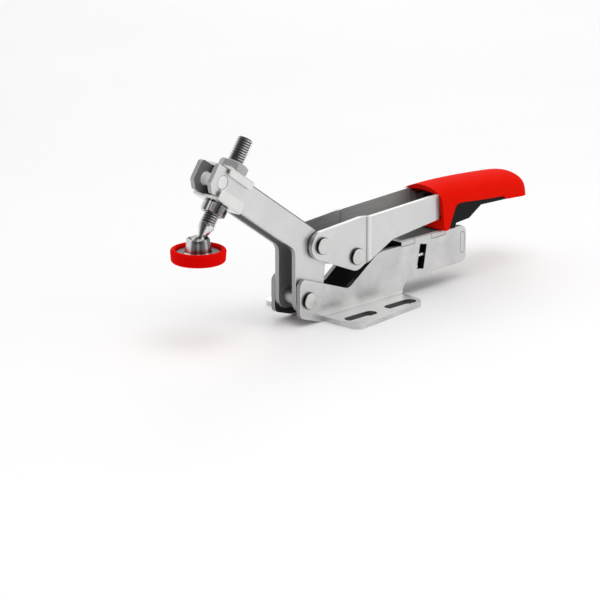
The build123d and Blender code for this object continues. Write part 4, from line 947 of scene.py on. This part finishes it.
# arm: painted shade on its inner faces and a painted dark line of shade along its upper edge
arm = zinc_sheet(
    "zinc_arm", *SHEET_ZINC, wear_and_highlight_round=0.55, inner=(grey(0.21), grey(0.20)), cut=(0.0, grey(0.36)),
    rim=(tuple(BAR_UP), BAR_SHADE_LINE, grey(0.14)),
)
# handle: painted shade on its inner faces and where it runs into the grip, painted shade and highlight at its
# bend, and a painted highlight on its neck
handle = zinc_sheet(
    "zinc_handle", *SHEET_ZINC, inner=(grey(0.29), grey(0.48, 0.475)), cut=(0.0, grey(0.50, 0.495)),
    fold_shading=BEND_SHADE_AND_HIGHLIGHT, fade=(51.6 * MM, 54.8 * MM, grey(0.20)), matt=(NECK_HIGHLIGHT,),
)
# cover and rear plate: dark as painted shade between the walls, with painted light at the front and plain
# zinc at the tab ends
cover = zinc_sheet(
    "zinc_cover_painted_shade", (0.078, 0.100, 0.103), (0.120, 0.148, 0.151), (0.45, 0.47, 0.47), (0.50, 0.62), 0.05,
    fold_shading=COVER_FRONT_LIGHT, tabs=7.5 * MM, matt=(COVER_LIP_SHADOW,),
)
# spring, link and slider: near black as painted shade inside the housing
darker = zinc_sheet("zinc_painted_shade", SHADE_BLACK, grey(0.05), grey(0.25))
lock = lock_steel("lock_steel", grey(0.02), grey(0.85, 0.84), EAR_BRIGHT_FROM)
saddle = zinc_sheet(
    "zinc_saddle", grey(0.69, 0.68), grey(0.80, 0.79), grey(0.93, 0.92), (0.24, 0.34), wear_and_highlight_round=0.1,
)
# rivets: painted shade on the upright sides of their heads
rivet = turned_steel(
    "rivet_bright", grey(0.60, 0.59), grey(0.72, 0.71), 0.30, 900.0, MIDDLE, LAY_ALONG_Y, side=grey(0.015),
)
tie = turned_steel("tie_bright", grey(0.78, 0.775), grey(0.90, 0.89), 0.40, 900.0, MIDDLE, LAY_ALONG_Y, 0.2)
bush = turned_steel("bush_turned", (0.34, 0.33, 0.32), (0.45, 0.44, 0.43), 0.30, 900.0, MIDDLE, LAY_ALONG_Y)
# spindle: two dark lines of painted reflection along it, and painted shade in the thread's roots
spindle = turned_steel(
    "spindle_bright", grey(0.66), grey(0.78, 0.77), 0.17, 600.0, tuple(SPINDLE_MIDDLE), LAY_ALONG_SPINDLE,
    grooves=tuple(BAR_UP), reflection_bands=(tuple(BAR_UP), 0.77, grey(0.12)),
)
# washers: near black as painted shade in the gap beside the arm
washer = zinc_sheet("washer_painted_shade", SHADE_BLACK, grey(0.05), grey(0.75, 0.74))
nut_matt = zinc_sheet("nut_matt", grey(0.40), grey(0.50, 0.49), grey(0.72, 0.71), (0.34, 0.44))
# lower nut: uneven dark lines of painted reflection round it
nut_bright = turned_steel(
    "nut_bright", grey(0.66), grey(0.80, 0.79), 0.20, 600.0, tuple(SPINDLE_MIDDLE), LAY_ALONG_SPINDLE,
    reflection_stripes=(tuple(BAR_UP), 3.4, 1.7, grey(0.09)),
)
# pad collar: uneven dark lines of painted reflection round it
collar = turned_steel(
    "collar_turned", grey(0.60, 0.59), grey(0.80, 0.79), 0.28, 500.0, (BALL_CENTRE[0], 0, 0),
    reflection_stripes=((0.0, 0.0, 1.0), 1.6, 3.0, grey(0.16)), disc=(PAD_MATT_BELOW, grey(0.30)),
)
black_screw = turned_steel("screw_black", (0.05, 0.05, 0.055), (0.09, 0.09, 0.095), 0.38, 900.0, MIDDLE)
grip_red = moulded_red("grip_red", (0.86, 0.010, 0.003), (0.82, 0.008, 0.002), 0.50, 1300.0)
cap_red = moulded_red("cap_red", (0.80, 0.003, 0.002), (0.72, 0.002, 0.001), 0.55, 1600.0)
black = moulded_black("insert_black")

CARRIED = {
    "base_side_left": base, "base_side_right": base, "cover_plate": cover, "rear_plate": cover,
    "lock_spring": darker, "arm_cheek_left": arm, "arm_cheek_right": arm, "nose_rivet": tie,
    "arm_pivot_bush": bush, "handle_pivot_bush": bush, "handle_plate_left": handle,
    "handle_plate_right": handle, "pivot_washer_left": washer, "pivot_washer_right": washer,
    "grip_insert": black, "link": darker, "link_pin": bush, "slider": darker, "slider_rod": bush,
    "lock_plate_front": lock, "lock_plate_rear": lock, "force_screw": black_screw,
    "saddle_upper": saddle, "saddle_lower": saddle,
}
for node, finish in CARRIED.items():
    for slot in frame["nodes"][node].material_slots:
        slot.link = "OBJECT"
        slot.material = finish

for name, centre in (("arm", ARM_PIVOT), ("handle", HANDLE_PIVOT), ("link", LINK_PIVOT)):
    riveted_pin(f"rivet_{name}", f"{name}_pivot_rivet", centre, rivet)
threaded_spindle(spindle)
hexagon_nut(
    "nut_above", "nut_upper", NUT_FACE, NUT_ABOVE_HEIGHT, NUT_ABOVE_FLATS, nut_matt, TURN / 12,
)
hexagon_nut(
    "nut_below", "nut_lower", -NUT_FACE - NUT_BELOW_HEIGHT, NUT_BELOW_HEIGHT, NUT_BELOW_FLATS, nut_bright,
)
shade_wings(lock)
pad_pieces(collar, cap_red)
red_grip(grip_red)

settings = bpy.context.scene.view_settings
settings.view_transform = "Standard"
